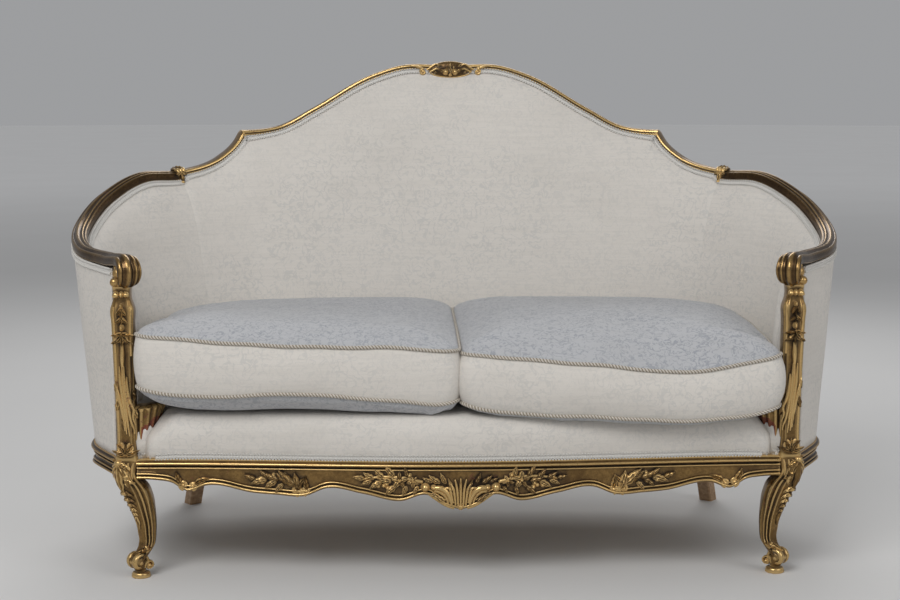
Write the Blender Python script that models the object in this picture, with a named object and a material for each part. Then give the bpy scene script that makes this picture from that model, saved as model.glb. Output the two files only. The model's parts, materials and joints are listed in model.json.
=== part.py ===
"""Two-seat giltwood settee in the French rococo manner, with a basket-shaped back.

Metres, +X to the viewer's right, +Y to the back, +Z up. The origin is on the floor
under the middle of the settee. The back and arms are one continuous wall: a station
runs from -1 at the left arm post, through 0 at the centre of the back, to +1 at the
right arm post. At each station the wall stands on the seat rail line and ends at the
top line, and every frame member, pad and cover is placed between those two lines.
"""

from bisect import bisect_right
from math import cos, pi, sin, tau

import bmesh
import bpy
import numpy as np
from mathutils import Matrix, Vector

# Driving sizes of the frame
ARM_REACH = 0.755
RAIL_REACH = 0.702
SEAT_RUN = 0.596
BACK_RAKE = 0.114
ARM_HEIGHT = 0.611
CREST_HEIGHT = 0.973
SEAT_RAIL_TOP = 0.235

# Fits and cuts
FIT_GAP = 0.0003
CUT_OVERRUN = 0.002
SEAM_GAP = 0.0006

# Seat rails
RAIL_THICKNESS = 0.032
APRON_THICKNESS = 0.020
APRON_BOW = 0.033
APRON_DROP = 0.091
SIDE_APRON_DROP = 0.056
WEB_LEDGE_DROP = 0.035
BACK_RAIL_HEIGHT = 0.060
MOULDING_RISE = 0.006
MOULDING_DROP = 0.022
MOULDING_STEP = 0.015
REBATE_DEPTH = 0.005
EDGE_BEAD = 0.009

# Joints between frame members
TENON_LENGTH = 0.014
TENON_THICKNESS = 0.008
TENON_HEIGHT = 0.018
TENON_DROP = 0.030
DOWEL_RADIUS = 0.005
DOWEL_LENGTH = 0.018

# Front legs
LEG_BLOCK = 0.045
LEG_KNEE_OUT = 0.014
FOOT_PAD_RADIUS = 0.0225
FOOT_PAD_HEIGHT = 0.011
FOOT_SCROLL_RADIUS = 0.011
FOOT_SCROLL_WIDTH = 0.026

# Back legs and stiles
STILE_WIDTH = 0.042
BACK_FOOT_WIDTH = 0.030
BACK_LEG_SPLAY = 0.052

# Arms
ARM_RAIL_WIDTH = 0.030
ARM_RAIL_HEIGHT = 0.020
ARM_EDGE = 0.005
ARM_GROOVE = 0.002
SCROLL_RADIUS = 0.031
SCROLL_WIDTH = 0.046
SCROLL_BEVEL = 0.006
SCROLL_EYE_RADIUS = 0.010
SCROLL_EYE_RISE = 0.003
SCROLL_LEAD = 0.009
POST_WIDTH = 0.043
POST_FLARE_RISE = 0.094
POST_FLARE_REACH = 0.048
POST_SADDLE_RISE = 0.009

# Crest
CREST_THICKNESS = 0.034
CREST_BAND = 0.011
CREST_BOARD_DROP = 0.060
CREST_EASE = 0.004
CARVING_RISE = 0.012
CARVING_WIDTH = 0.128
CARVING_DEPTH = 0.012
CARVING_RELIEF = 0.003
CLASP_LENGTH = 0.024
CLASP_THICKNESS = 0.006
CLASP_RING_SHARES = ((-1.0, 0.4), (-0.5, 1.0), (0.0, 0.7), (0.5, 1.0), (1.0, 0.4))

# Hidden frame members
CORE_THICKNESS = 0.022
CLOTH_EASE = 0.0015
TACK_RAIL_RISE = 0.105
TACK_RAIL_HEIGHT = 0.036
UPRIGHT_WIDTH = 0.040
STRETCHER_WIDTH = 0.040
STRETCHER_HEIGHT = 0.024
BLOCK_HEIGHT = 0.030
BLOCK_REACH = 0.070

# Webbing, springs and hessian
WEB_WIDTH = 0.055
WEB_THICKNESS = 0.003
SPRING_RADIUS = 0.044
SPRING_WAIST = 0.026
SPRING_WIRE = 0.004
SPRING_TURNS = 3.5
SPRING_POINTS = 8
HESSIAN_THICKNESS = 0.0015

# Upholstery
COVER_THICKNESS = 0.003
BACK_PAD = 0.062
DECK_RISE = 0.099
DECK_CROWN = 0.014
DECK_STUFFING = 0.038
DECK_SETBACK = 0.007
DECK_CORNER = 0.040
DECK_ROLL = 0.008

# Loose cushions
CUSHION_BAND = 0.100
CUSHION_CROWN = 0.030
CUSHION_BELLY = 0.010
CUSHION_PARTING = 0.003
CUSHION_OVERHANG = 0.012
CUSHION_BOW = 0.016
PIPING_RADIUS = 0.004
CUSHION_CORNER = 0.030
CUSHION_CLEARANCE = 0.0007
CUSHION_EASE = 0.003
CUSHION_SIDE_SWELL = 0.004

# Rows of the wall, from the arm post to the centre of the back. Columns: across the top
# line, back along the top line, rise from arm to crest, across the seat rail line, back
# along the seat rail line.
WALL_ROWS_SHARES = (
    (0.829, 0.007, 0.000, 0.887, 0.000),
    (0.868, 0.078, 0.000, 0.938, 0.099),
    (0.959, 0.218, 0.028, 0.994, 0.248),
    (1.000, 0.409, 0.113, 0.995, 0.458),
    (0.966, 0.573, 0.257, 0.953, 0.643),
    (0.885, 0.706, 0.362, 0.870, 0.794),
    (0.795, 0.799, 0.367, 0.782, 0.891),
    (0.683, 0.883, 0.445, 0.678, 0.940),
    (0.636, 0.918, 0.539, 0.640, 0.9535),
    (0.620, 0.930, 0.602, 0.622, 0.959),
    (0.510, 0.958, 0.630, 0.517, 0.975),
    (0.411, 0.973, 0.737, 0.419, 0.987),
    (0.232, 0.992, 0.945, 0.235, 0.997),
    (0.146, 0.997, 1.000, 0.150, 0.999),
    (0.000, 1.000, 1.000, 0.000, 1.000),
)
STATION_MARGIN_SHARE = 0.010
STATION_NUDGE = 0.0005
STATION_EXACT = 1e-9
STATIONS_PER_ROW = 2
CLASP_ROW = 6
EAR_ROW = 9

# Lower edge of the front apron, as shares of half its length and of the apron drop
APRON_EDGE_SHARES = (
    (0.000, 1.000), (0.050, 0.900), (0.098, 0.703), (0.188, 0.824), (0.300, 0.680),
    (0.417, 0.571), (0.483, 0.736), (0.570, 0.720), (0.640, 0.687), (0.790, 0.538),
    (0.852, 0.660), (0.900, 0.480), (0.945, 0.430), (1.000, 0.415),
)
# Lower edge of a side apron, as shares of its length and of its drop
SIDE_EDGE_SHARES = (
    (0.00, 0.67), (0.20, 0.70), (0.40, 0.90), (0.50, 1.00), (0.60, 0.90), (0.80, 0.72),
    (1.00, 0.90),
)
# Front leg from the floor up: share of the rail height, shift out from the block as a
# share of the knee, half width and corner rounding as shares of the block
LEG_SHARES = (
    (0.050, -1.10, 0.34, 0.60),
    (0.092, -0.86, 0.46, 0.60),
    (0.145, -0.68, 0.55, 0.55),
    (0.190, -1.20, 0.44, 0.50),
    (0.234, -1.68, 0.38, 0.35),
    (0.383, -1.93, 0.41, 0.30),
    (0.545, -1.57, 0.52, 0.30),
    (0.680, -1.05, 0.60, 0.28),
    (0.780, -0.45, 0.59, 0.22),
    (0.830, 0.00, 0.50, 0.16),
)
# Back leg below the seat rail: share of the rail height, share of the splay, share of
# the way from foot size to stile size
BACK_LEG_SHARES = (
    (0.00, 1.00, 0.00), (0.15, 0.78, 0.00), (0.40, 0.36, 0.20), (0.60, 0.12, 0.60),
    (0.72, 0.02, 0.95),
)
# Arm post from its foot to its head: share of its height, share of its half width across
# and from front to back
POST_SHARES = (
    (0.00, 1.00, 1.00), (0.10, 0.84, 0.92), (0.30, 0.86, 0.86), (0.55, 0.92, 0.84),
    (0.80, 0.98, 0.88), (0.90, 0.90, 0.90), (1.00, 1.00, 1.00),
)
# Flare behind the arm post: plan corners as shares of its reach, in and back
FLARE_PLAN_SHARES = (
    (-0.30, -0.20), (0.25, -0.10), (0.70, 0.42), (0.86, 0.90), (0.60, 1.16), (-0.30, 0.46),
)
FLARE_SIZE_SHARES = ((0.00, 0.62), (0.35, 0.66), (0.70, 0.82), (1.00, 1.00))
# Thickness of a pad up its height, as shares of the full pad
PAD_SWELL_SHARES = ((0.00, 0.92), (0.12, 1.02), (0.32, 1.00), (0.60, 0.88), (0.82, 0.66),
                    (0.93, 0.38), (0.975, 0.18), (1.00, 0.08))
# Thickness of an arm pad along it, from the arm post to the seam with the back
PAD_RUN_SHARES = ((0.00, 0.60), (0.12, 0.65), (0.32, 0.74), (0.60, 0.82), (0.85, 0.94),
                  (1.00, 1.00))
# Deck rings up its border: shares of the rise, of the corner drawn in and of the roll
DECK_RING_SHARES = ((0.00, 0.00, 0.0), (0.30, 0.00, 0.9), (0.75, 0.03, 0.8), (0.94, 0.16, 0.0),
                    (1.00, 0.42, 0.0))
DECK_CROWN_SHARES = ((0.25, 0.65), (0.75, 1.00))
DECK_FRONT_SHARES = (0.0, 0.12, 0.25, 0.38, 0.50, 0.62, 0.73, 0.83, 0.92, 0.975)
# Cushion top from the piping in: share of the outline and share of the crown
CUSHION_TOP_SHARES = ((0.975, 0.16), (0.93, 0.38), (0.82, 0.68), (0.60, 0.91), (0.30, 1.00))
CUSHION_UNDER_SHARES = ((0.30, 1.00), (0.70, 0.90), (0.93, 0.50), (0.975, 0.22))
# Outline of the crest carving from its right tip: half width and height shares
CARVING_SHARES = (
    (1.00, -0.05), (0.88, 0.42), (0.66, 0.28), (0.52, 0.70), (0.36, 0.60), (0.26, 0.92),
    (0.12, 0.80), (0.00, 1.00),
)
CARVING_UNDER_SHARES = ((0.70, -0.40), (0.42, -0.30), (0.24, -0.80), (0.00, -1.00))
# Shell fan at the apron centre: half width and drop shares, from its top corner down
FAN_SHARES = ((0.42, 0.00), (0.90, 0.16), (1.00, 0.42), (0.70, 0.56), (0.62, 0.80),
              (0.34, 0.84), (0.22, 1.00), (0.00, 0.95))
FAN_WIDTH = 0.130
FAN_DROP = 0.062
FAN_RELIEF = 0.007
# Leaf spray on the apron: along it from the centre of the apron, and half height shares
SPRAY_SHARES = ((0.00, 0.30), (0.14, 0.95), (0.30, 0.62), (0.46, 1.00), (0.62, 0.60),
                (0.78, 0.74), (0.90, 0.38), (1.00, 0.10))
SPRAY_LENGTH = 0.098
SPRAY_HEIGHT = 0.030
SPRAY_RELIEF = 0.005
SPRAY_START_SHARE = 0.500
SPRAY_INNER_SHARE = 0.120
SPRAY_UNDER_SHARE = 0.70
WEB_ACROSS_SHARES = (-0.76, -0.38, 0.0, 0.38, 0.76)
WEB_ALONG_SHARES = (0.32, 0.68)
UPRIGHT_SHARE = 0.34
STRETCHER_SHARE = 0.53
POST_CORNER_SHARE = 0.25
STILE_CORNER_SHARE = 0.20
FOOT_PAD_ROUND_SHARE = 0.55
SPRING_PITCH_SHARE = 0.35
SPRING_FLARE_POWER = 1.5

# Steps of the faceted shapes
APRON_STEPS = 46
COVER_ROWS = 4
STILE_ROWS = 4
CUSHION_EDGE_PARTS = 5
CUSHION_CORNER_STEPS = 3
BASKET_STEPS = 18
LINE_NUDGE = 0.001
EDGE_SMOOTH_ANGLE = 0.6
CUSHION_SMOOTH_ANGLE = 1.2

# Colours, roughness and metallic value of each material
GILT = ((0.42, 0.27, 0.09), 0.38, 0.85)
DARK_GILT = ((0.16, 0.10, 0.05), 0.42, 0.60)
BEECH = ((0.36, 0.23, 0.13), 0.65, 0.0)
DAMASK = ((0.80, 0.75, 0.66), 0.75, 0.0)
JUTE = ((0.45, 0.34, 0.20), 0.90, 0.0)
STEEL = ((0.35, 0.33, 0.31), 0.35, 1.0)

HALF_GAP = FIT_GAP / 2
BACK_EDGE = SEAT_RUN + BACK_RAKE + CREST_THICKNESS / 2
PLAQUE_LIFT = MOULDING_RISE / 2 + FIT_GAP
FRONT_EDGE = PLAQUE_LIFT + FAN_RELIEF + APRON_BOW + RAIL_THICKNESS / 2
LEG_Y = (FRONT_EDGE - BACK_EDGE) / 2
TOP_RUN = SEAT_RUN + BACK_RAKE
CREST_RISE = CREST_HEIGHT - ARM_HEIGHT
CORE_HALF = CORE_THICKNESS / 2
BOARD_HALF = CORE_HALF - CLOTH_EASE
CORE_FACE = CORE_HALF + FIT_GAP
LEDGE_INSET = APRON_THICKNESS - RAIL_THICKNESS / 2 + FIT_GAP
WEB_TOP = SEAT_RAIL_TOP - WEB_LEDGE_DROP - FIT_GAP
DECK_TOP = SEAT_RAIL_TOP + FIT_GAP + DECK_RISE


def clear_scene():
    for item in list(bpy.data.objects):
        bpy.data.objects.remove(item, do_unlink=True)


def finish(name, mesh_data, look, smooth_angle=EDGE_SMOOTH_ANGLE):
    """Put a bmesh into the scene as a named piece with its own material."""
    colour, roughness, metallic = look
    mesh = bpy.data.meshes.new(name)
    mesh_data.to_mesh(mesh)
    mesh_data.free()
    mesh.shade_smooth()
    mesh.set_sharp_from_angle(angle=smooth_angle)
    piece = bpy.data.objects.new(name, mesh)
    bpy.context.scene.collection.objects.link(piece)
    add_material(piece, name, colour, roughness, metallic)
    return piece


def add_material(piece, name, colour, roughness, metallic):
    material = bpy.data.materials.new(name)
    material.use_nodes = True
    shader = material.node_tree.nodes["Principled BSDF"]
    shader.inputs["Base Color"].default_value = (*colour, 1.0)
    shader.inputs["Roughness"].default_value = roughness
    shader.inputs["Metallic"].default_value = metallic
    piece.data.materials.append(material)


def loft(rings):
    """A closed solid through matching rings, each grown from the last one's edges."""
    solid = bmesh.new()
    verts = [solid.verts.new(point) for point in rings[0]]
    solid.faces.new(verts)
    for ring in rings[1:]:
        edges = [solid.edges.get(pair) for pair in zip(verts, verts[1:] + verts[:1])]
        grown = bmesh.ops.extrude_edge_only(solid, edges=edges)["geom"]
        fresh = {item for item in grown if isinstance(item, bmesh.types.BMVert)}
        verts = [next(edge.other_vert(vert) for edge in vert.link_edges
                      if edge.other_vert(vert) in fresh) for vert in verts]
        for vert, point in zip(verts, ring):
            vert.co = point
    solid.faces.new(verts)
    bmesh.ops.recalc_face_normals(solid, faces=solid.faces)
    return solid


def helper(name, mesh_data):
    """A guide solid for a Boolean, left out of the finished model."""
    mesh = bpy.data.meshes.new(name)
    mesh_data.to_mesh(mesh)
    mesh_data.free()
    guide = bpy.data.objects.new(name, mesh)
    bpy.context.scene.collection.objects.link(guide)
    guide.hide_render = True
    guide.display_type = "WIRE"
    return guide


def combine(piece, guide, operation):
    step = piece.modifiers.new(operation.lower(), "BOOLEAN")
    step.operation = operation
    step.object = guide


def box_solid(size, place=Matrix.Identity(4)):
    solid = bmesh.new()
    bmesh.ops.create_cube(solid, size=1.0, matrix=place @ Matrix.Diagonal((*size, 1.0)))
    return solid


def tenon(giver, taker, root, along):
    """A tongue from one member's end into a mortise in the next one."""
    along = Vector(along).normalized()
    side = along.cross(Vector((0.0, 0.0, 1.0)))
    turn = Matrix((along, side, along.cross(side))).transposed().to_4x4()
    reach = TENON_LENGTH + CUT_OVERRUN
    for fit, piece, operation in ((0.0, giver, "UNION"), (FIT_GAP, taker, "DIFFERENCE")):
        size = (reach + fit, TENON_THICKNESS + 2 * fit, TENON_HEIGHT + 2 * fit)
        centre = Vector(root) + along * ((reach + fit) / 2 - CUT_OVERRUN)
        solid = box_solid(size, Matrix.Translation(centre) @ turn)
        combine(piece, helper("tenon_guide", solid), operation)


def dowel(giver, taker, root, along=(0.0, 0.0, 1.0)):
    """A round peg from one member into a hole in the next one."""
    along = Vector(along).normalized()
    turn = along.to_track_quat("Z", "Y").to_matrix().to_4x4()
    for fit, piece, operation in ((0.0, giver, "UNION"), (FIT_GAP, taker, "DIFFERENCE")):
        length = DOWEL_LENGTH + CUT_OVERRUN + fit
        centre = Vector(root) + along * (length / 2 - CUT_OVERRUN)
        solid = bmesh.new()
        bmesh.ops.create_cone(solid, cap_ends=True, segments=12, depth=length,
                              radius1=DOWEL_RADIUS + fit, radius2=DOWEL_RADIUS + fit,
                              matrix=Matrix.Translation(centre) @ turn)
        combine(piece, helper("dowel_guide", solid), operation)


def smooth_value(shares, at):
    """Value at a place on a smooth curve through a table of pairs."""
    places = [place for place, _ in shares]
    values = np.array([[value] for _, value in shares])
    arriving, leaving = slopes(values, places)
    return float(hermite(values, places, arriving, leaving, at)[0])


def slopes(points, knots, corner=None):
    """Tangents arriving at and leaving each point, broken at the corner."""
    steps = np.diff(knots)
    chords = np.diff(points, axis=0) / steps[:, None]
    middle = (chords[:-1] * steps[1:, None] + chords[1:] * steps[:-1, None])
    middle /= (steps[:-1] + steps[1:])[:, None]
    tangents = np.vstack(((3 * chords[0] - middle[0]) / 2, middle,
                          (3 * chords[-1] - middle[-1]) / 2))
    arriving = tangents.copy()
    leaving = tangents.copy()
    if corner is not None:
        arriving[corner] = (3 * chords[corner - 1] - tangents[corner - 1]) / 2
        leaving[corner] = (3 * chords[corner] - tangents[corner + 1]) / 2
    return arriving, leaving


def hermite(points, knots, arriving, leaving, at):
    row = min(max(bisect_right(knots, at) - 1, 0), len(knots) - 2)
    step = knots[row + 1] - knots[row]
    t = (at - knots[row]) / step
    return ((1 + 2 * t) * (1 - t) ** 2 * points[row] + t * (1 - t) ** 2 * step * leaving[row]
            + t * t * (3 - 2 * t) * points[row + 1]
            - t * t * (1 - t) * step * arriving[row + 1])


class Wall:
    """The two lines that the back and arms stand between."""

    def __init__(self):
        rows = np.array(WALL_ROWS_SHARES)
        mirror = rows[-2] * (-1, 1, 1, -1, 1)
        rows = np.vstack((rows, mirror))
        self.top = np.column_stack((rows[:, 0] * ARM_REACH, LEG_Y + rows[:, 1] * TOP_RUN,
                                    ARM_HEIGHT + rows[:, 2] * CREST_RISE))
        self.foot = np.column_stack((rows[:, 3] * RAIL_REACH, LEG_Y + rows[:, 4] * SEAT_RUN,
                                     rows[:, 3] * 0.0 + SEAT_RAIL_TOP))
        chords = np.linalg.norm(np.diff(self.top, axis=0), axis=1)
        runs = np.concatenate(((0.0,), np.cumsum(chords)))
        self.length = runs[-2]
        self.knots = list(runs / self.length)
        self.top_slopes = slopes(self.top, self.knots, corner=EAR_ROW)
        self.foot_slopes = slopes(self.foot, self.knots)
        rows = [knot - 1 for knot in self.knots[:-1]]
        rows += [-station for station in rows[-2::-1]]
        self.fine = {low + (high - low) * step / STATIONS_PER_ROW
                     for low, high in zip(rows, rows[1:]) for step in range(STATIONS_PER_ROW)}
        self.marks = set()

    def point(self, line, station):
        rows, tangents = ((self.top, self.top_slopes) if line == "top"
                          else (self.foot, self.foot_slopes))
        place = Vector(hermite(rows, self.knots, *tangents, 1 - abs(station)))
        place.x *= 1 if station > 0 else -1
        return place

    def run(self, line, station, side=0):
        """Direction of a line at a station, taken on both sides of it or on one."""
        nudge = STATION_NUDGE
        ahead = self.point(line, station + nudge * (side >= 0))
        behind = self.point(line, station - nudge * (side <= 0))
        return (ahead - behind).normalized()

    def out(self, line, station):
        """Level direction square to a line, away from the seat."""
        run = self.run(line, station)
        return Vector((-run.y, run.x, 0.0)).normalized()

    def outward(self, station):
        return (self.out("top", station) + self.out("foot", station)).normalized()

    def up(self, station):
        """Direction in the wall square to its top line, lengthened at the ear's mitre."""
        if abs(1 - abs(station) - self.knots[EAR_ROW]) > STATION_NUDGE / 2:
            return self.up_from(station, self.run("top", station))
        before = self.up_from(station, self.run("top", station, -1))
        after = self.up_from(station, self.run("top", station, 1))
        mitre = (before + after).normalized()
        return mitre / mitre.dot(before)

    def up_from(self, station, run):
        lean = self.point("top", station) - self.point("foot", station)
        return (lean - run * lean.dot(run)).normalized()

    def below_top(self, station, drop):
        return self.point("top", station) - self.up(station) * drop

    def at_rise(self, station, rise):
        """Point of the wall at a rise above the seat rail."""
        foot = self.point("foot", station)
        top = self.point("top", station)
        return foot.lerp(top, rise / (top.z - foot.z))

    def at_drop(self, station, drop):
        """Point of the wall at a drop below the height of the top line."""
        return self.at_rise(station, self.point("top", station).z - drop - SEAT_RAIL_TOP)

    def step(self, line, station, size):
        """Difference of stations that moves a point along a line by a real length."""
        nudge = STATION_NUDGE
        moved = self.point(line, station + nudge) - self.point(line, station - nudge)
        return size * 2 * nudge / moved.length

    def stations(self, first, last):
        """Stations from first to last that every member of the wall shares."""
        margin = STATION_MARGIN_SHARE
        inner = {station for station in self.fine if first + margin < station < last - margin}
        inner |= {station for station in self.marks if first < station < last}
        return [first] + sorted(inner) + [last]

    def mark(self, stations):
        """Add the stations where a member of the wall begins or ends, on both sides."""
        self.marks |= {station * side for station in stations for side in (-1, 1)}


WALL = Wall()
CLASP_AT = 1 - WALL.knots[CLASP_ROW]
LEG_X = WALL_ROWS_SHARES[0][3] * RAIL_REACH
STILE_HALF = WALL.step("foot", CLASP_AT, STILE_WIDTH / 2)
UPRIGHT_AT = CLASP_AT * UPRIGHT_SHARE
UPRIGHT_HALF = WALL.step("foot", UPRIGHT_AT, UPRIGHT_WIDTH / 2)
CLASP_HALF = WALL.step("top", CLASP_AT, CLASP_LENGTH / 2)
POST_AT = 1.0 - WALL.step("foot", 1.0 - STATION_NUDGE, LEG_BLOCK / 2)
WALL.mark(CLASP_AT + share * CLASP_HALF for share, _ in CLASP_RING_SHARES)
WALL.mark((CLASP_AT - STILE_HALF, CLASP_AT + STILE_HALF))
WALL.mark((UPRIGHT_AT - UPRIGHT_HALF, UPRIGHT_AT + UPRIGHT_HALF))


def meet(ring, run, place, facing):
    """Slide a ring's points along a run so that they end on a plane."""
    return [point + run * ((place - point).dot(facing) / run.dot(facing)) for point in ring]


def square_end(ring, station):
    """End a top rail squarely across its line, where the next rail begins."""
    run = WALL.run("top", station)
    return meet(ring, run, WALL.point("top", station), run)


def stile_face(side, end, width):
    """Place and direction of a stile's side: end 1 faces the arm, -1 the other stile."""
    out = WALL.outward(CLASP_AT * side)
    facing = Vector((out.y, -out.x, 0.0)) * side * end
    return WALL.point("foot", CLASP_AT * side) + facing * (width / 2 + FIT_GAP), facing


def post_face(side):
    """Place and direction of the back of a front leg's block."""
    place = Vector((side * LEG_X, LEG_Y + LEG_BLOCK / 2 + FIT_GAP, 0.0))
    return place, Vector((0.0, 1.0, 0.0))


def crest_ring(station):
    """Section of the crest rail: a moulded band over a board set back from it."""
    top = WALL.point("top", station)
    up = WALL.up(station)
    out = WALL.outward(station)
    half = CREST_THICKNESS / 2
    board = WALL.at_drop(station, CREST_BOARD_DROP)
    shape = ((-half, -CREST_BAND), (-half, -CREST_EASE), (CREST_EASE - half, 0.0),
             (half - CREST_EASE, 0.0), (half, -CREST_EASE), (half, -CREST_BAND),
             (BOARD_HALF, -CREST_BAND))
    ring = [top + out * across + up * rise for across, rise in shape]
    ring += [board + out * BOARD_HALF, board - out * BOARD_HALF]
    return ring + [top - out * BOARD_HALF - up * CREST_BAND]


def clasp_stations(side):
    """Stations of the clasp's rings."""
    return [side * CLASP_AT + share * CLASP_HALF for share, _ in CLASP_RING_SHARES]


def make_crest_rail():
    end = CLASP_AT - WALL.step("top", CLASP_AT, HALF_GAP)
    rings = [crest_ring(station) for station in WALL.stations(-end, end)]
    rings[0] = square_end(rings[0], -end)
    rings[-1] = square_end(rings[-1], end)
    return finish("crest_rail", loft(rings), GILT)


def arm_ring(station):
    """Section of the arm rail: rounded, with a groove along its top."""
    half = ARM_RAIL_WIDTH / 2
    deep = ARM_RAIL_HEIGHT
    edge = ARM_EDGE
    shape = ((half, -edge), (half, edge - deep), (half - edge, -deep),
             (edge - half, -deep), (-half, edge - deep), (-half, -edge),
             (edge / 2 - half, 0.0), (-edge / 2, -ARM_GROOVE),
             (edge / 2, -ARM_GROOVE), (half - edge / 2, 0.0))
    top = WALL.point("top", station)
    up = WALL.up(station)
    out = WALL.outward(station)
    return [top + out * across + up * rise for across, rise in shape]


def scroll_drum(place, ease=0.0):
    """The rolled end of an arm, a drum across the arm with a boss at each end."""
    turn = Matrix.Rotation(pi / 2, 4, "Y")
    solid = bmesh.new()
    bmesh.ops.create_cone(solid, cap_ends=True, segments=28, depth=SCROLL_WIDTH + 2 * ease,
                          radius1=SCROLL_RADIUS + ease, radius2=SCROLL_RADIUS + ease,
                          matrix=Matrix.Translation(place) @ turn)
    ends = [face for face in solid.faces if len(face.verts) > 4]
    rims = list({edge for face in ends for edge in face.edges})
    bmesh.ops.bevel(solid, geom=rims, offset=SCROLL_BEVEL, segments=2, profile=0.5,
                    affect="EDGES", material=-1)
    for face in [face for face in solid.faces if len(face.verts) > 4]:
        rim = SCROLL_RADIUS - SCROLL_BEVEL - SCROLL_EYE_RADIUS
        bmesh.ops.inset_region(solid, faces=[face], thickness=rim)
        bmesh.ops.translate(solid, verts=face.verts, vec=face.normal * SCROLL_EYE_RISE)
    return solid


def make_arm_rail(side):
    name = "arm_rail_left" if side < 0 else "arm_rail_right"
    first = (1.0 - WALL.step("top", CLASP_AT, FIT_GAP)) * side
    last = (CLASP_AT + WALL.step("top", CLASP_AT, HALF_GAP)) * side
    low, high = sorted((first, last))
    rings = [arm_ring(station) for station in WALL.stations(low, high)]
    joint = 0 if side > 0 else -1
    rings[joint] = square_end(rings[joint], last)
    rail = finish(name, loft(rings), DARK_GILT)
    combine(rail, helper("scroll_guide", scroll_drum(drum_place(side))), "UNION")
    return rail


def drum_place(side):
    top = WALL.point("top", side)
    return Vector((top.x, LEG_Y - SCROLL_LEAD, top.z - SCROLL_RADIUS))


def post_section(place, half_x, half_y, corner_share):
    """Rectangle with its corners taken off, around a place."""
    cut = min(half_x, half_y) * corner_share
    ring = []
    for across, back in ((1, -1), (1, 1), (-1, 1), (-1, -1)):
        near = Vector((across * half_x, back * (half_y - cut), 0.0))
        far = Vector((across * (half_x - cut), back * half_y, 0.0))
        order = (near, far) if across * back > 0 else (far, near)
        ring += [place + point for point in order]
    return ring


def make_arm_post(side):
    name = "arm_post_left" if side < 0 else "arm_post_right"
    drum = drum_place(side)
    foot = Vector((side * LEG_X, LEG_Y, SEAT_RAIL_TOP + FIT_GAP))
    head = Vector((drum.x, LEG_Y, drum.z - SCROLL_RADIUS + POST_SADDLE_RISE))
    rings = []
    for rise, across, back in POST_SHARES:
        place = foot.lerp(head, rise)
        place.y += (1 - back) * LEG_BLOCK / 2
        rings.append(post_section(place, POST_WIDTH / 2 * across, LEG_BLOCK / 2 * back,
                                  POST_CORNER_SHARE))
    post = finish(name, loft(rings), GILT)
    combine(post, helper("flare_guide", flare_solid(side)), "UNION")
    combine(post, helper("saddle_guide", scroll_drum(drum, FIT_GAP)), "DIFFERENCE")
    return post


def flare_corner(side, reach, share):
    """Corner of the flare's plan at a size share, from the post's inner back corner."""
    across, back = reach
    return Vector((side * (LEG_X - LEG_BLOCK / 2 - across * share * POST_FLARE_REACH),
                   LEG_Y + back * share * POST_FLARE_REACH, 0.0))


def flare_solid(side):
    """Leafy foot that spreads from the post in and back over the seat corner."""
    rings = []
    for rise, size in FLARE_SIZE_SHARES:
        level = Vector((0.0, 0.0, SEAT_RAIL_TOP + FIT_GAP + rise * POST_FLARE_RISE))
        rings.append([flare_corner(side, reach, size) + level
                      for reach in FLARE_PLAN_SHARES])
    return loft(rings)


def leg_section(place, half, rounding):
    """Square ring with corners eased, three points to a corner."""
    ease = half * rounding
    ring = []
    for across, back in ((1, -1), (1, 1), (-1, 1), (-1, -1)):
        near = Vector((across * half, back * (half - ease), 0.0))
        far = Vector((across * (half - ease), back * half, 0.0))
        knuckle = Vector((across, back, 0.0)) * (half - ease * (1 - cos(pi / 4)))
        order = (near, knuckle, far) if across * back > 0 else (far, knuckle, near)
        ring += [place + point for point in order]
    return ring


def leg_shift(side, share):
    return Vector((side * share, -share, 0.0)) * LEG_KNEE_OUT


def make_front_leg(side):
    """Cabriole leg: pad, scroll foot, ankle, knee and the block the rails meet in."""
    name = "front_leg_left" if side < 0 else "front_leg_right"
    axis = Vector((side * LEG_X, LEG_Y, 0.0))
    pad = axis + leg_shift(side, LEG_SHARES[0][1])
    rings = [leg_section(pad + Vector((0.0, 0.0, rise)), FOOT_PAD_RADIUS, FOOT_PAD_ROUND_SHARE)
             for rise in (0.0, FOOT_PAD_HEIGHT)]
    for rise, shift, half, rounding in LEG_SHARES:
        place = axis + leg_shift(side, shift)
        place.z = max(SEAT_RAIL_TOP * rise, FOOT_PAD_HEIGHT)
        rings.append(leg_section(place, LEG_BLOCK * half, rounding))
    place = axis + Vector((0.0, 0.0, SEAT_RAIL_TOP))
    rings.append(leg_section(place, LEG_BLOCK / 2, LEG_SHARES[-1][3]))
    leg = finish(name, loft(rings), GILT)
    combine(leg, helper("foot_scroll_guide", foot_scroll(axis, side)), "UNION")
    return leg


def foot_scroll(axis, side):
    """Small roll across the toe, square to the leg's diagonal."""
    toe = axis + leg_shift(side, LEG_SHARES[2][1] + 1.0)
    toe.z = SEAT_RAIL_TOP * LEG_SHARES[2][0]
    turn = Matrix.Rotation(side * pi / 4, 4, "Z") @ Matrix.Rotation(pi / 2, 4, "Y")
    solid = bmesh.new()
    bmesh.ops.create_cone(solid, cap_ends=True, segments=16, depth=FOOT_SCROLL_WIDTH,
                          radius1=FOOT_SCROLL_RADIUS, radius2=FOOT_SCROLL_RADIUS,
                          matrix=Matrix.Translation(toe) @ turn)
    return solid


def apron_line(across):
    """Middle of the front rail in plan, bowed forward between the legs."""
    swing = (1 + cos(pi * across / LEG_X)) / 2
    return Vector((across, LEG_Y - APRON_BOW * swing, 0.0))


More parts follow.
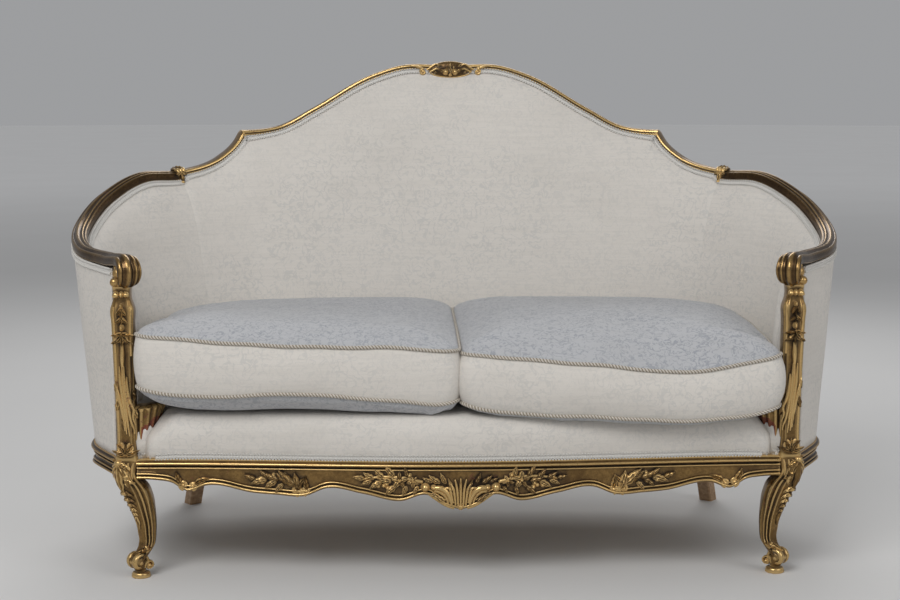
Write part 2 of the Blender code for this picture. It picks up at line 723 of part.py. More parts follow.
def rail_ring(place, out, low):
    """Section of a shaped seat rail: moulded top, flat face, bead on the lower edge."""
    half = RAIL_THICKNESS / 2
    ledge = SEAT_RAIL_TOP - WEB_LEDGE_DROP
    shape = ((-half, SEAT_RAIL_TOP), (-half, ledge), (half - APRON_THICKNESS, ledge),
             (half - APRON_THICKNESS, low + EDGE_BEAD / 2), (half, low),
             (half + MOULDING_RISE / 2, low + EDGE_BEAD / 2), (half, low + EDGE_BEAD),
             (half, SEAT_RAIL_TOP - MOULDING_DROP),
             (half + MOULDING_RISE, SEAT_RAIL_TOP - MOULDING_STEP),
             (half + MOULDING_RISE, SEAT_RAIL_TOP - REBATE_DEPTH),
             (half, SEAT_RAIL_TOP))
    return [place + out * across + Vector((0.0, 0.0, rise)) for across, rise in shape]


def make_front_rail():
    reach = LEG_X - LEG_BLOCK / 2 - FIT_GAP
    rings = []
    for step in range(APRON_STEPS + 1):
        across = reach * (2 * step / APRON_STEPS - 1)
        drop = smooth_value(APRON_EDGE_SHARES, abs(across) / reach) * APRON_DROP
        out = Vector((0.0, -1.0, 0.0))
        rings.append(rail_ring(apron_line(across), out, SEAT_RAIL_TOP - drop))
    return finish("front_rail", loft(rings), GILT)


def make_side_rail(side):
    name = "side_rail_left" if side < 0 else "side_rail_right"
    end = CLASP_AT + STILE_HALF
    rings = []
    for station in reversed(WALL.stations(end, POST_AT)):
        along = (POST_AT - station) / (POST_AT - end)
        low = SEAT_RAIL_TOP - smooth_value(SIDE_EDGE_SHARES, along) * SIDE_APRON_DROP
        foot = WALL.point("foot", station * side)
        foot.z = 0.0
        rings.append(rail_ring(foot, WALL.out("foot", station * side), low))
    rings[0] = meet(rings[0], WALL.run("foot", POST_AT * side), *post_face(side))
    rings[-1] = meet(rings[-1], WALL.run("foot", end * side),
                     *stile_face(side, 1, STILE_WIDTH))
    return finish(name, loft(rings), DARK_GILT)


def make_back_rail():
    end = CLASP_AT - STILE_HALF
    half = RAIL_THICKNESS / 2
    ledge = SEAT_RAIL_TOP - WEB_LEDGE_DROP
    base = SEAT_RAIL_TOP - BACK_RAIL_HEIGHT
    shape = ((-half, SEAT_RAIL_TOP), (-half, ledge), (half - APRON_THICKNESS, ledge),
             (half - APRON_THICKNESS, base), (half, base), (half, SEAT_RAIL_TOP))
    rings = []
    for station in WALL.stations(-end, end):
        foot = WALL.point("foot", station)
        out = WALL.out("foot", station)
        foot.z = 0.0
        rings.append([foot + out * across + Vector((0.0, 0.0, rise)) for across, rise in shape])
    rings[0] = meet(rings[0], WALL.run("foot", -end), *stile_face(-1, -1, STILE_WIDTH))
    rings[-1] = meet(rings[-1], WALL.run("foot", end), *stile_face(1, -1, STILE_WIDTH))
    return finish("back_rail", loft(rings), BEECH)


def stile_ring(place, out, half_width, half_depth):
    """Eight-sided ring of a back leg or stile, around a place."""
    run = Vector((out.y, -out.x, 0.0))
    ring = []
    for point in post_section(Vector(), half_width, half_depth, STILE_CORNER_SHARE):
        ring.append(place + run * point.x + out * point.y)
    return ring


def stile_wall_ring(at, share):
    """Ring of a stile above the seat rail, where it follows the wall's twist."""
    ring = []
    for point in post_section(Vector(), 1.0, 1.0, STILE_CORNER_SHARE):
        station = at + point.x * STILE_HALF
        head = WALL.at_drop(station, CREST_BOARD_DROP + CLOTH_EASE)
        place = WALL.at_rise(station, HALF_GAP).lerp(head, share)
        ring.append(place + WALL.outward(station) * point.y * BOARD_HALF)
    return ring


def make_back_leg(side):
    """Raked back leg that runs up past the seat rail as the stile under the clasp."""
    name = "back_leg_left" if side < 0 else "back_leg_right"
    at = CLASP_AT * side
    out = WALL.outward(at)
    foot = WALL.point("foot", at)
    rings = []
    for rise, splay, size in BACK_LEG_SHARES:
        width = BACK_FOOT_WIDTH + (STILE_WIDTH - BACK_FOOT_WIDTH) * size
        depth = BACK_FOOT_WIDTH + (RAIL_THICKNESS - BACK_FOOT_WIDTH) * size
        place = Vector((foot.x, foot.y, SEAT_RAIL_TOP * rise)) + out * BACK_LEG_SPLAY * splay
        rings.append(stile_ring(place, out, width / 2, depth / 2))
    rings.append(stile_ring(foot, out, STILE_WIDTH / 2, RAIL_THICKNESS / 2))
    rings += [stile_wall_ring(at, step / STILE_ROWS) for step in range(STILE_ROWS + 1)]
    return finish(name, loft(rings), BEECH)


def make_frame():
    """Show-wood and hidden frame, with their tenons and dowels."""
    front = make_front_rail()
    back = make_back_rail()
    crest = make_crest_rail()
    for side in (-1, 1):
        leg = make_front_leg(side)
        stile = make_back_leg(side)
        rail = make_side_rail(side)
        post = make_arm_post(side)
        arm = make_arm_rail(side)
        join_seat_frame(side, front, back, rail, leg, stile)
        dowel(post, arm, drum_place(side) - Vector((0.0, 0.0, SCROLL_RADIUS)))
        dowel(leg, post, Vector((side * LEG_X, LEG_Y, SEAT_RAIL_TOP)))
        seam = side * (CLASP_AT + WALL.step("top", CLASP_AT, HALF_GAP))
        root = WALL.below_top(seam, ARM_RAIL_HEIGHT / 2)
        dowel(arm, crest, root, WALL.run("top", seam) * -side)
    return front, back


def join_seat_frame(side, front, back, rail, leg, stile):
    """Tenons of the rails in the front leg's block and in the stile."""
    level = Vector((0.0, 0.0, SEAT_RAIL_TOP - TENON_DROP))
    inner = Vector((side * (LEG_X - LEG_BLOCK / 2 - FIT_GAP), LEG_Y, 0.0))
    tenon(front, leg, inner + level, (side, 0.0, 0.0))
    place, facing = post_face(side)
    shift = Vector((side * TENON_THICKNESS, 0.0, 0.0))
    tenon(rail, leg, place + shift + level, -facing)
    for end, piece in ((1, rail), (-1, back)):
        place, facing = stile_face(side, end, STILE_WIDTH)
        place.z = 0.0
        tenon(piece, stile, place + level, -facing)


def make_clasp(side):
    """Leaf clasp over the joint of arm rail and crest rail."""
    name = "clasp_left" if side < 0 else "clasp_right"
    inner = CREST_THICKNESS / 2 + FIT_GAP
    rings = []
    for station, (_, size) in zip(clasp_stations(side), CLASP_RING_SHARES):
        thick = CLASP_THICKNESS * size
        shape = ((-inner, -CREST_BAND), (-inner, FIT_GAP), (inner, FIT_GAP),
                 (inner, -CREST_BAND), (inner + thick / 2, -CREST_BAND),
                 (inner + thick / 2, thick / 2), (inner / 2, thick), (-inner / 2, thick),
                 (-inner - thick, thick / 2), (-inner - thick, -CREST_BAND))
        top = WALL.point("top", station)
        up = WALL.up(station)
        out = WALL.outward(station)
        rings.append([top + out * across + up * rise for across, rise in shape])
    return finish(name, loft(rings), GILT)


def mirrored(points):
    """A half outline from the right tip to the middle, carried on to the left."""
    return list(points) + [(-across, rise) for across, rise in reversed(points)
                           if across != 0.0]


def carved_plaque(name, outline, origin, along, depth, relief):
    """Flat-backed carving: its outline extruded forward, then drawn in and raised."""
    facing = Vector((along.y, -along.x, 0.0))
    solid = bmesh.new()
    verts = [solid.verts.new(origin + along * across + Vector((0.0, 0.0, rise)))
             for across, rise in outline]
    base = solid.faces.new(verts)
    grown = bmesh.ops.extrude_face_region(solid, geom=[base])["geom"]
    face = next(item for item in grown if isinstance(item, bmesh.types.BMFace))
    bmesh.ops.translate(solid, verts=face.verts, vec=facing * (depth - relief))
    bmesh.ops.recalc_face_normals(solid, faces=solid.faces)
    bmesh.ops.inset_region(solid, faces=[face], thickness=relief, depth=relief)
    return finish(name, solid, GILT)


def make_crest_carving():
    """Shell and leaves against the crest's centre, standing above its top."""
    over = [(across * CARVING_WIDTH / 2, rise * (CARVING_RISE if rise > 0 else CREST_BAND))
            for across, rise in CARVING_SHARES]
    under = [(across * CARVING_WIDTH / 2, rise * (CREST_BAND - FIT_GAP))
             for across, rise in CARVING_UNDER_SHARES]
    outline = mirrored(over) + mirrored(under)[::-1]
    origin = WALL.point("top", 0.0)
    faces = [WALL.below_top(WALL.step("top", 0.0, across), -rise).y for across, rise in under]
    faces.append(WALL.point("top", WALL.step("top", 0.0, CARVING_WIDTH / 2)).y)
    origin.y = min(faces) - CREST_THICKNESS / 2 - FIT_GAP
    return carved_plaque("crest_carving", outline, origin, Vector((1.0, 0.0, 0.0)),
                         CARVING_DEPTH, CARVING_RELIEF)


def apron_frame(across, lift):
    """Place over the front rail's face for a carving, and the direction along the face."""
    nudge = LINE_NUDGE
    along = (apron_line(across + nudge) - apron_line(across - nudge)).normalized()
    facing = Vector((along.y, -along.x, 0.0))
    return apron_line(across) + facing * (RAIL_THICKNESS / 2 + lift), along


def make_apron_fan():
    """Acanthus fan under the middle of the front rail."""
    origin, along = apron_frame(0.0, PLAQUE_LIFT)
    origin.z = SEAT_RAIL_TOP - MOULDING_DROP - FIT_GAP
    half = [(across * FAN_WIDTH / 2, -drop * FAN_DROP) for across, drop in FAN_SHARES]
    return carved_plaque("apron_fan", mirrored(half), origin, along, FAN_RELIEF,
                         FAN_RELIEF / 2)


def make_apron_spray(side, inner):
    """Leaf spray beside the fan, or farther out over the apron's scroll."""
    name = ("apron_bloom_" if inner else "apron_spray_") + ("left" if side < 0 else "right")
    start = SPRAY_INNER_SHARE if inner else SPRAY_START_SHARE
    reach = LEG_X - LEG_BLOCK / 2
    origin, along = apron_frame(side * (reach * start + SPRAY_LENGTH / 2), FIT_GAP + HALF_GAP)
    origin.z = SEAT_RAIL_TOP - MOULDING_DROP - FIT_GAP - SPRAY_HEIGHT / 2
    over = [((share - 0.5) * SPRAY_LENGTH * side, rise * SPRAY_HEIGHT / 2)
            for share, rise in SPRAY_SHARES]
    under = [(across, -rise * SPRAY_UNDER_SHARE) for across, rise in reversed(over)]
    return carved_plaque(name, over + under, origin, along, SPRAY_RELIEF, SPRAY_RELIEF / 2)


def board_rings(stations, low, high, inner, outer, rows_up=1):
    """Rings of a board of the wall, its edges given as functions of station."""
    rings = []
    for station in stations:
        out = WALL.outward(station)
        foot, head = low(station), high(station)
        rows = [foot.lerp(head, step / rows_up) for step in range(rows_up + 1)]
        rings.append([point + out * inner for point in rows]
                     + [point + out * outer for point in reversed(rows)])
    return rings


def rise_line(rise):
    return lambda station: WALL.at_rise(station, rise)


def drop_line(drop):
    return lambda station: WALL.below_top(station, drop)


def crest_edge(station):
    """Edge of the back's upholstery: under the crest band, lower at the arm rail's end."""
    at_end = abs(station) > CLASP_AT - STATION_MARGIN_SHARE / 2
    return WALL.below_top(station, (ARM_RAIL_HEIGHT if at_end else CREST_BAND) + SEAM_GAP)


def board_foot(station):
    """Underside of the crest board, where the uprights end."""
    return WALL.at_drop(station, CREST_BOARD_DROP + FIT_GAP)


def make_tack_rails():
    """Rails that the upholstery is tacked to, just above the seat."""
    low, high = rise_line(TACK_RAIL_RISE), rise_line(TACK_RAIL_RISE + TACK_RAIL_HEIGHT)
    gap = WALL.step("foot", CLASP_AT, FIT_GAP)
    end = CLASP_AT - STILE_HALF - gap
    rings = board_rings(WALL.stations(-end, end), low, high, -BOARD_HALF, BOARD_HALF)
    finish("back_tack_rail", loft(rings), BEECH)
    for side, name in ((-1, "arm_tack_rail_left"), (1, "arm_tack_rail_right")):
        near = CLASP_AT + STILE_HALF + gap
        stations = [side * station for station in WALL.stations(near, POST_AT)]
        rings = board_rings(stations, low, high, -BOARD_HALF, BOARD_HALF)
        rings[-1] = meet(rings[-1], WALL.run("foot", side * POST_AT), *post_face(side))
        finish(name, loft(rings), BEECH)


def make_back_uprights():
    low = rise_line(TACK_RAIL_RISE + TACK_RAIL_HEIGHT + FIT_GAP)
    for side, name in ((-1, "back_upright_left"), (1, "back_upright_right")):
        edges = sorted((side * (UPRIGHT_AT - UPRIGHT_HALF), side * (UPRIGHT_AT + UPRIGHT_HALF)))
        rings = board_rings(WALL.stations(*edges), low, board_foot, -BOARD_HALF, BOARD_HALF)
        finish(name, loft(rings), BEECH)


def seat_line(across, behind):
    """Place behind the front rail's middle line."""
    return Vector((across, apron_line(across).y + behind, 0.0))


def front_face(across):
    """Depth of the front rail's inner face under its ledge."""
    return apron_line(across).y + LEDGE_INSET


def back_face(across):
    """Depth of the back rail's inner face under its ledge."""
    return back_line(across) - LEDGE_INSET


def make_stretcher(side, front, back):
    """Front-to-back rail under the webbing, tenoned into the seat rails."""
    name = "seat_stretcher_left" if side < 0 else "seat_stretcher_right"
    middle = side * LEG_X * STRETCHER_SHARE
    top = WEB_TOP - WEB_THICKNESS - FIT_GAP
    low = top - STRETCHER_HEIGHT
    shape = [(middle + edge * STRETCHER_WIDTH / 2, level)
             for edge, level in ((-1, top), (1, top), (1, low), (-1, low))]
    rings = [[Vector((across, face(across), level)) for across, level in shape]
             for face in (front_face, back_face)]
    stretcher = finish(name, loft(rings), BEECH)
    level = (top + low) / 2
    tenon(stretcher, front, (middle, front_face(middle), level), (0.0, -1.0, 0.0))
    tenon(stretcher, back, (middle, back_face(middle), level), (0.0, 1.0, 0.0))


def station_past(passed, low, high):
    """Station between two others from which a test on the seat rail line holds."""
    while high - low > STATION_EXACT:
        middle = (low + high) / 2
        if passed(WALL.point("foot", middle)):
            high = middle
        else:
            low = middle
    return high


def back_line(across):
    """Depth of the seat rail line behind the seat at a place across it."""
    station = station_past(lambda place: place.x >= across, -CLASP_AT, CLASP_AT)
    return WALL.point("foot", station).y


def side_line(depth):
    """Reach of the seat rail line beside the seat at a place from front to back."""
    station = station_past(lambda place: place.y <= depth, CLASP_AT, 1.0)
    return WALL.point("foot", station).x


def inner_place(station, inset):
    """Place on the floor plan beside the seat rail line, on its inner side."""
    place = WALL.point("foot", station) - WALL.out("foot", station) * inset
    return Vector((place.x, place.y, 0.0))


def make_corner_blocks():
    """Glue blocks in the seat frame's corners, front and back."""
    inset = RAIL_THICKNESS / 2 + FIT_GAP
    low = SEAT_RAIL_TOP - BLOCK_HEIGHT
    for side, word in ((-1, "left"), (1, "right")):
        corner = LEG_X - LEG_BLOCK / 2 - FIT_GAP
        plan = [seat_line(side * (corner - share * BLOCK_REACH), inset)
                for share in (1.0, 0.5, 0.0)]
        plan.append(Vector((side * corner, LEG_Y + LEG_BLOCK / 2 + FIT_GAP, 0.0)))
        for distance in (LEG_BLOCK, LEG_BLOCK + BLOCK_REACH / 2):
            at = side * (1.0 - WALL.step("foot", side * CLASP_AT, distance))
            plan.append(inner_place(at, inset + CLOTH_EASE))
        prism("front_corner_block_" + word, plan, low, BLOCK_HEIGHT - FIT_GAP)
        plan = []
        for end in (1, -1):
            edge = side * (CLASP_AT + end * STILE_HALF)
            near = meet([inner_place(edge, inset)], WALL.run("foot", edge),
                        *stile_face(side, end, STILE_WIDTH))
            at = side * (CLASP_AT + end * WALL.step("foot", CLASP_AT, BLOCK_REACH))
            pair = [inner_place(at, inset + CLOTH_EASE)] + near
            plan += pair if end == 1 else pair[::-1]
        prism("back_corner_block_" + word, plan, low, BLOCK_HEIGHT - FIT_GAP)


def prism(name, plan, low, height):
    floor = [point + Vector((0.0, 0.0, low)) for point in plan]
    roof = [point + Vector((0.0, 0.0, low + height)) for point in plan]
    return finish(name, loft([floor, roof]), BEECH)


def web_places():
    """Middles of the webs across the seat and along it."""
    across = [LEG_X * share for share in WEB_ACROSS_SHARES]
    front = LEG_Y - APRON_BOW / 2
    along = [front + (LEG_Y + SEAT_RUN - front) * share for share in WEB_ALONG_SHARES]
    return across, along


def make_webbing():
    """Crossed webs as one net, tacked under the ledges of the seat rails."""
    across, along = web_places()
    reach = APRON_THICKNESS - RAIL_THICKNESS / 2 + CLOTH_EASE
    half = WEB_WIDTH / 2
    columns = [None] + [at + edge for at in across for edge in (-half, half)] + [None]
    rows = [None] + [at + edge for at in along for edge in (-half, half)] + [None]
    net = bmesh.new()
    verts = {}

    def corner(column, row):
        if (column, row) not in verts:
            x, y = columns[column], rows[row]
            if x is None:
                x = (side_line(y) - reach) * (-1 if column == 0 else 1)
            if y is None:
                y = apron_line(x).y + reach if row == 0 else back_line(x) - reach
            verts[column, row] = net.verts.new((x, y, WEB_TOP))
        return verts[column, row]

    for column in range(len(columns) - 1):
        for row in range(len(rows) - 1):
            if column % 2 or row % 2:
                net.faces.new((corner(column, row), corner(column + 1, row),
                               corner(column + 1, row + 1), corner(column, row + 1)))
    grown = bmesh.ops.extrude_face_region(net, geom=net.faces[:])["geom"]
    lower = [item for item in grown if isinstance(item, bmesh.types.BMVert)]
    bmesh.ops.translate(net, verts=lower, vec=(0.0, 0.0, -WEB_THICKNESS))
    bmesh.ops.recalc_face_normals(net, faces=net.faces)
    return finish("seat_webbing", net, JUTE)


def spring_point(turn, height):
    """Point of a waisted spring's wire, its ends lying nearly flat."""
    share = turn / SPRING_TURNS
    eased = share * share * (3 - 2 * share)
    level = SPRING_PITCH_SHARE * share + (1 - SPRING_PITCH_SHARE) * eased
    level = level * (height - SPRING_WIRE) + SPRING_WIRE / 2
    radius = SPRING_WAIST + (SPRING_RADIUS - SPRING_WAIST) * abs(2 * share - 1) ** SPRING_FLARE_POWER
    return Vector((radius * cos(tau * turn), radius * sin(tau * turn), level))


def make_springs():
    """Waisted springs standing on the web crossings under the hessian."""
    height = DECK_TOP - DECK_STUFFING - HESSIAN_THICKNESS - 2 * FIT_GAP - WEB_TOP
    height -= 2 * FIT_GAP
    steps = round(SPRING_TURNS * SPRING_POINTS)
    points = [spring_point(step / SPRING_POINTS, height) for step in range(steps + 1)]
    gaps = [(first - second).length - SPRING_WIRE for index, first in enumerate(points)
            for second in points[index + SPRING_POINTS // 2:]]
    print(f"least gap of a spring to itself: {min(gaps) * 1000:.1f} mm")
    across, along = web_places()
    places = [(x, y) for y in along for x in across]
    for index, (x, y) in enumerate(places):
        name = f"seat_spring_{index + 1:02d}"
        wire = bpy.data.curves.new(name, "CURVE")
        wire.dimensions = "3D"
        wire.bevel_depth = SPRING_WIRE / 2
        wire.bevel_resolution = 1
        wire.use_fill_caps = True
        line = wire.splines.new("POLY")
        line.points.add(len(points) - 1)
        for knot, point in zip(line.points, points):
            knot.co = (*point, 1.0)
        spring = bpy.data.objects.new(name, wire)
        spring.location = (x, y, WEB_TOP + FIT_GAP)
        bpy.context.scene.collection.objects.link(spring)
        add_material(spring, name, *STEEL)


def grow(plan, gap):
    """A convex-turning outline moved outwards by a gap, corner by corner."""
    moved = []
    for index, here in enumerate(plan):
        before = (here - plan[index - 1]).normalized()
        after = (plan[(index + 1) % len(plan)] - here).normalized()
        side = Vector((before.y, -before.x, 0.0)) + Vector((after.y, -after.x, 0.0))
        side.normalize()
        moved.append(here + side * gap / side.dot(Vector((after.y, -after.x, 0.0))))
    return moved


def deck_half():
    """Right half of the deck's plan, from the front middle round to the back middle."""
    border = RAIL_THICKNESS / 2 - DECK_SETBACK
    flare = grow([flare_corner(1, reach, 1.0) for reach in FLARE_PLAN_SHARES][::-1],
                 FIT_GAP)[::-1]
    plan = [(seat_line(share * flare[1].x, -border), 1.0) for share in DECK_FRONT_SHARES]
    plan += [(point, 0.0) for point in flare[1:5]]
    back = LEG_Y + LEG_BLOCK / 2 + FIT_GAP
    plan.append((Vector((flare[5].x, back, 0.0)), 0.0))
    for station in reversed(WALL.stations(0.0, POST_AT)):
        place = WALL.point("foot", station) - WALL.outward(station) * CORE_FACE
        plan.append((Vector((place.x, max(place.y, back), 0.0)), 0.0))
    return plan


def deck_ring(plan, rise, inward, roll):
    """The deck's plan drawn in toward its middle, its front border rolled forward."""
    middle = Vector((0.0, LEG_Y + SEAT_RUN / 2, 0.0))
    ring = []
    for point, front in plan:
        scale_x = 1 - inward / LEG_X
        scale_y = 1 - inward / (SEAT_RUN / 2)
        place = Vector(((point.x - middle.x) * scale_x, (point.y - middle.y) * scale_y, 0.0))
        place += middle + Vector((0.0, -roll * front, SEAT_RAIL_TOP + FIT_GAP + rise))
        ring.append(place)
    return ring


def make_deck():
    """Fixed stuffed seat with a rolled border, hollow below over the springs."""
    half = deck_half()
    plan = half + [(Vector((-point.x, point.y, 0.0)), front)
                   for point, front in reversed(half) if abs(point.x) > FIT_GAP]
    rings = [deck_ring(plan, HALF_GAP, DECK_STUFFING, 0.0)]
    rings.insert(0, deck_ring(plan, DECK_RISE - DECK_STUFFING, DECK_STUFFING, 0.0))
    for rise, inward, roll in DECK_RING_SHARES:
        rings.append(deck_ring(plan, rise * (DECK_RISE - DECK_CROWN),
                               inward * DECK_CORNER, roll * DECK_ROLL))
    for inward, crown in DECK_CROWN_SHARES:
        rise = DECK_RISE - DECK_CROWN * (1 - crown)
        rings.append(deck_ring(plan, rise, inward * SEAT_RUN / 2, 0.0))
    finish("seat_deck", loft(rings), DAMASK)
    sheet = [deck_ring(plan, DECK_RISE - DECK_STUFFING - FIT_GAP - step * HESSIAN_THICKNESS,
                       DECK_STUFFING + FIT_GAP * 2, 0.0) for step in (0, 1)]
    finish("seat_hessian", loft(sheet), JUTE)


def pad_depth(station):
    """Thickness of the stuffing at a station, less along the arms."""
    if abs(station) < CLASP_AT:
        return BACK_PAD
    return BACK_PAD * smooth_value(PAD_RUN_SHARES, (1 - abs(station)) / (1 - CLASP_AT))


def pad_face(station):
    """Place on the floor plan that a cushion keeps to in front of the pads."""
    swell = max(share for _, share in PAD_SWELL_SHARES)
    depth = CORE_FACE + pad_depth(station) * swell + CUSHION_EASE
    place = WALL.at_rise(station, DECK_RISE) - WALL.outward(station) * depth
    return Vector((place.x, place.y, 0.0))


def pad_rings(stations, high):
    """Rings of a stuffed pad on the wall's inner side, swelling between its edges."""
    rings = []
    for station in stations:
        out = WALL.outward(station)
        foot = WALL.at_rise(station, DECK_RISE + 2 * FIT_GAP)
        head = high(station)
        full = pad_depth(station)
        ring = [foot.lerp(head, rise) - out * (CORE_FACE + full * swell)
                for rise, swell in PAD_SWELL_SHARES]
        rings.append(ring + [head.lerp(foot, step / COVER_ROWS) - out * CORE_FACE
                             for step in range(COVER_ROWS + 1)])
    return rings


def make_pads():
    """Inside back and inside arm pads, meeting at the sewn seams."""
    seam = WALL.step("foot", CLASP_AT, SEAM_GAP / 2)
    end = CLASP_AT - seam
    rings = pad_rings(WALL.stations(-end, end), crest_edge)
    finish("inside_back_pad", loft(rings), DAMASK)
    for side, name in ((-1, "inside_arm_pad_left"), (1, "inside_arm_pad_right")):
        stations = [side * at for at in WALL.stations(CLASP_AT + seam, POST_AT)]
        rings = pad_rings(stations, drop_line(ARM_RAIL_HEIGHT + FIT_GAP))
        rings[-1] = meet(rings[-1], WALL.run("foot", side * POST_AT), *post_face(side))
        finish(name, loft(rings), DAMASK)


def make_covers():
    """Outside back and outside arm covers over the frame."""
    seam = WALL.step("foot", CLASP_AT, SEAM_GAP / 2)
    end = CLASP_AT - seam
    outer = CORE_FACE + COVER_THICKNESS
    rings = board_rings(WALL.stations(-end, end), rise_line(FIT_GAP), crest_edge,
                        CORE_FACE, outer, COVER_ROWS)
    finish("outside_back_cover", loft(rings), DAMASK)
    for side, name in ((-1, "outside_arm_cover_left"), (1, "outside_arm_cover_right")):
        stations = [side * at for at in WALL.stations(CLASP_AT + seam, POST_AT)]
        rings = board_rings(stations, rise_line(FIT_GAP), drop_line(ARM_RAIL_HEIGHT + FIT_GAP),
                            CORE_FACE, outer, COVER_ROWS)
        rings[-1] = meet(rings[-1], WALL.run("foot", side * POST_AT), *post_face(side))
        finish(name, loft(rings), DAMASK)


def arc(centre, radius, first, last, steps):
    return [centre + Vector((cos(angle), sin(angle), 0.0)) * radius
            for angle in (first + (last - first) * step / steps for step in range(steps + 1))]


def cushion_plan(side):
    """Plan of a cushion: square toward its partner, following the pads beside and behind."""
    inner = CUSHION_PARTING / 2
    scroll = drum_place(1).x - SCROLL_WIDTH / 2 - SCROLL_EYE_RISE
    posts = min(LEG_X - LEG_BLOCK / 2, scroll)
    outer = posts - CUSHION_CLEARANCE
    front = LEG_Y - APRON_BOW - CUSHION_OVERHANG
    corner = CUSHION_CORNER
    basket = meet([pad_face(POST_AT)], WALL.run("foot", POST_AT), *post_face(1))
    basket += [pad_face(POST_AT * (1 - step / BASKET_STEPS)) for step in range(BASKET_STEPS + 1)]
    back = basket[-1].y
    centre = Vector((outer - corner, front + corner, 0.0))
    plan = arc(centre, corner, -pi / 2, 0.0, CUSHION_CORNER_STEPS)
    plan += [Vector((min(point.x, outer), point.y, 0.0)) for point in basket
             if point.y > front + corner and point.x > inner + 2 * corner]
    for depth, first, last in ((back - corner, pi / 2, pi), (front + corner, pi, 3 * pi / 2)):
        rounded = arc(Vector((inner + corner, depth, 0.0)), corner, first, last,
                      CUSHION_CORNER_STEPS)
        plan += straight(plan[-1], rounded[0]) + rounded
    plan += straight(plan[-1], plan[0])
    for point in plan:
        reach = (point.x - inner) / (outer - inner)
        bow = CUSHION_BOW * max(0.0, 1 - (2 * reach - 1) ** 2)
        point.y += bow * (point.y - back) / (back - front)
        point.x *= side
    return plan


def straight(start, end):
    """Points between two others, without them."""
    return [start.lerp(end, part / CUSHION_EDGE_PARTS) for part in range(1, CUSHION_EDGE_PARTS)]


def cushion_ring(plan, middle, level, scale=1.0, swell=0.0):
    ring = []
    for point in plan:
        away = point - middle
        place = middle + away * scale + away.normalized() * swell
        ring.append(Vector((place.x, place.y, level)))
    return ring


def make_cushion(side):
    """Loose box cushion: crowned top, piped seams and drawn-in band."""
    name = "seat_cushion_left" if side < 0 else "seat_cushion_right"
    plan = cushion_plan(side)
    middle = sum(plan, Vector()) / len(plan)
    low = DECK_TOP + FIT_GAP + CUSHION_BELLY
    high = low + CUSHION_BAND
    pipe = PIPING_RADIUS
    rings = [cushion_ring(plan, middle, low - CUSHION_BELLY * drop, scale)
             for scale, drop in CUSHION_UNDER_SHARES]
    for level, bulges in ((low, ((-1, -1.0), (0, 0.0), (1, -1.0))),
                          ((low + high) / 2, ((0, -1.0),)),
                          (high, ((-1, -1.0), (0, 0.0), (1, -1.0)))):
        for rise, draw in bulges:
            swell = draw * pipe
            if len(bulges) == 1:
                swell += CUSHION_SIDE_SWELL
            rings.append(cushion_ring(plan, middle, level + rise * pipe, 1.0, swell))
    rings += [cushion_ring(plan, middle, high + CUSHION_CROWN * crown, scale)
              for scale, crown in CUSHION_TOP_SHARES]
    finish(name, loft(rings), DAMASK, CUSHION_SMOOTH_ANGLE)


def build_all():
    clear_scene()
    front, back = make_frame()
    make_crest_carving()
    make_apron_fan()
    for side in (-1, 1):
        make_clasp(side)
        make_apron_spray(side, inner=True)
        make_apron_spray(side, inner=False)
        make_cushion(side)
        make_stretcher(side, front, back)
    make_tack_rails()
    make_back_uprights()
    make_corner_blocks()
    make_webbing()
    make_springs()
    make_deck()
    make_pads()
    make_covers()


build_all()
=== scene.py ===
"""Looks of the giltwood settee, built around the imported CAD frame.

The wall of the back and arms is described as in the part: a station runs from -1 at the
left arm post through 0 at the middle of the back to +1 at the right arm post.
"""

import json
from bisect import bisect_right
from functools import lru_cache
from math import atan2, cos, exp, hypot, pi, radians, sin, sqrt, tau

import bmesh
import bpy
import numpy as np
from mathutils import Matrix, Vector, noise
from mathutils.bvhtree import BVHTree
from mathutils.kdtree import KDTree


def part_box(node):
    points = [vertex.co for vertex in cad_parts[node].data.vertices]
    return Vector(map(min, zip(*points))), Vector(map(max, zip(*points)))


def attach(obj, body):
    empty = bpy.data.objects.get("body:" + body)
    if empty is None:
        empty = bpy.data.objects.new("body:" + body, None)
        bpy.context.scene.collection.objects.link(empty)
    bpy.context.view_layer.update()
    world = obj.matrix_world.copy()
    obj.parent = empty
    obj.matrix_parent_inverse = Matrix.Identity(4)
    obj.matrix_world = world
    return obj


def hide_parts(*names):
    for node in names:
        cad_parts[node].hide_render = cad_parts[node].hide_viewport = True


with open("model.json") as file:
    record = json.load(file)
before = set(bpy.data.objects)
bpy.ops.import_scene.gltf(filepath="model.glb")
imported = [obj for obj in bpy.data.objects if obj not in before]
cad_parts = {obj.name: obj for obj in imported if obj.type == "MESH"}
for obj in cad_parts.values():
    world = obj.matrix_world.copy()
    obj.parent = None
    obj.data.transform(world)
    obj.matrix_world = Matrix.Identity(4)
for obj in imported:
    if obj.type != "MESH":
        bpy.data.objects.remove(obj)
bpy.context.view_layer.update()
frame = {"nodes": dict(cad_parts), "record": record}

UP = Vector((0.0, 0.0, 1.0))
SIDES = ((-1, "left"), (1, "right"))
SAME = 1e-6

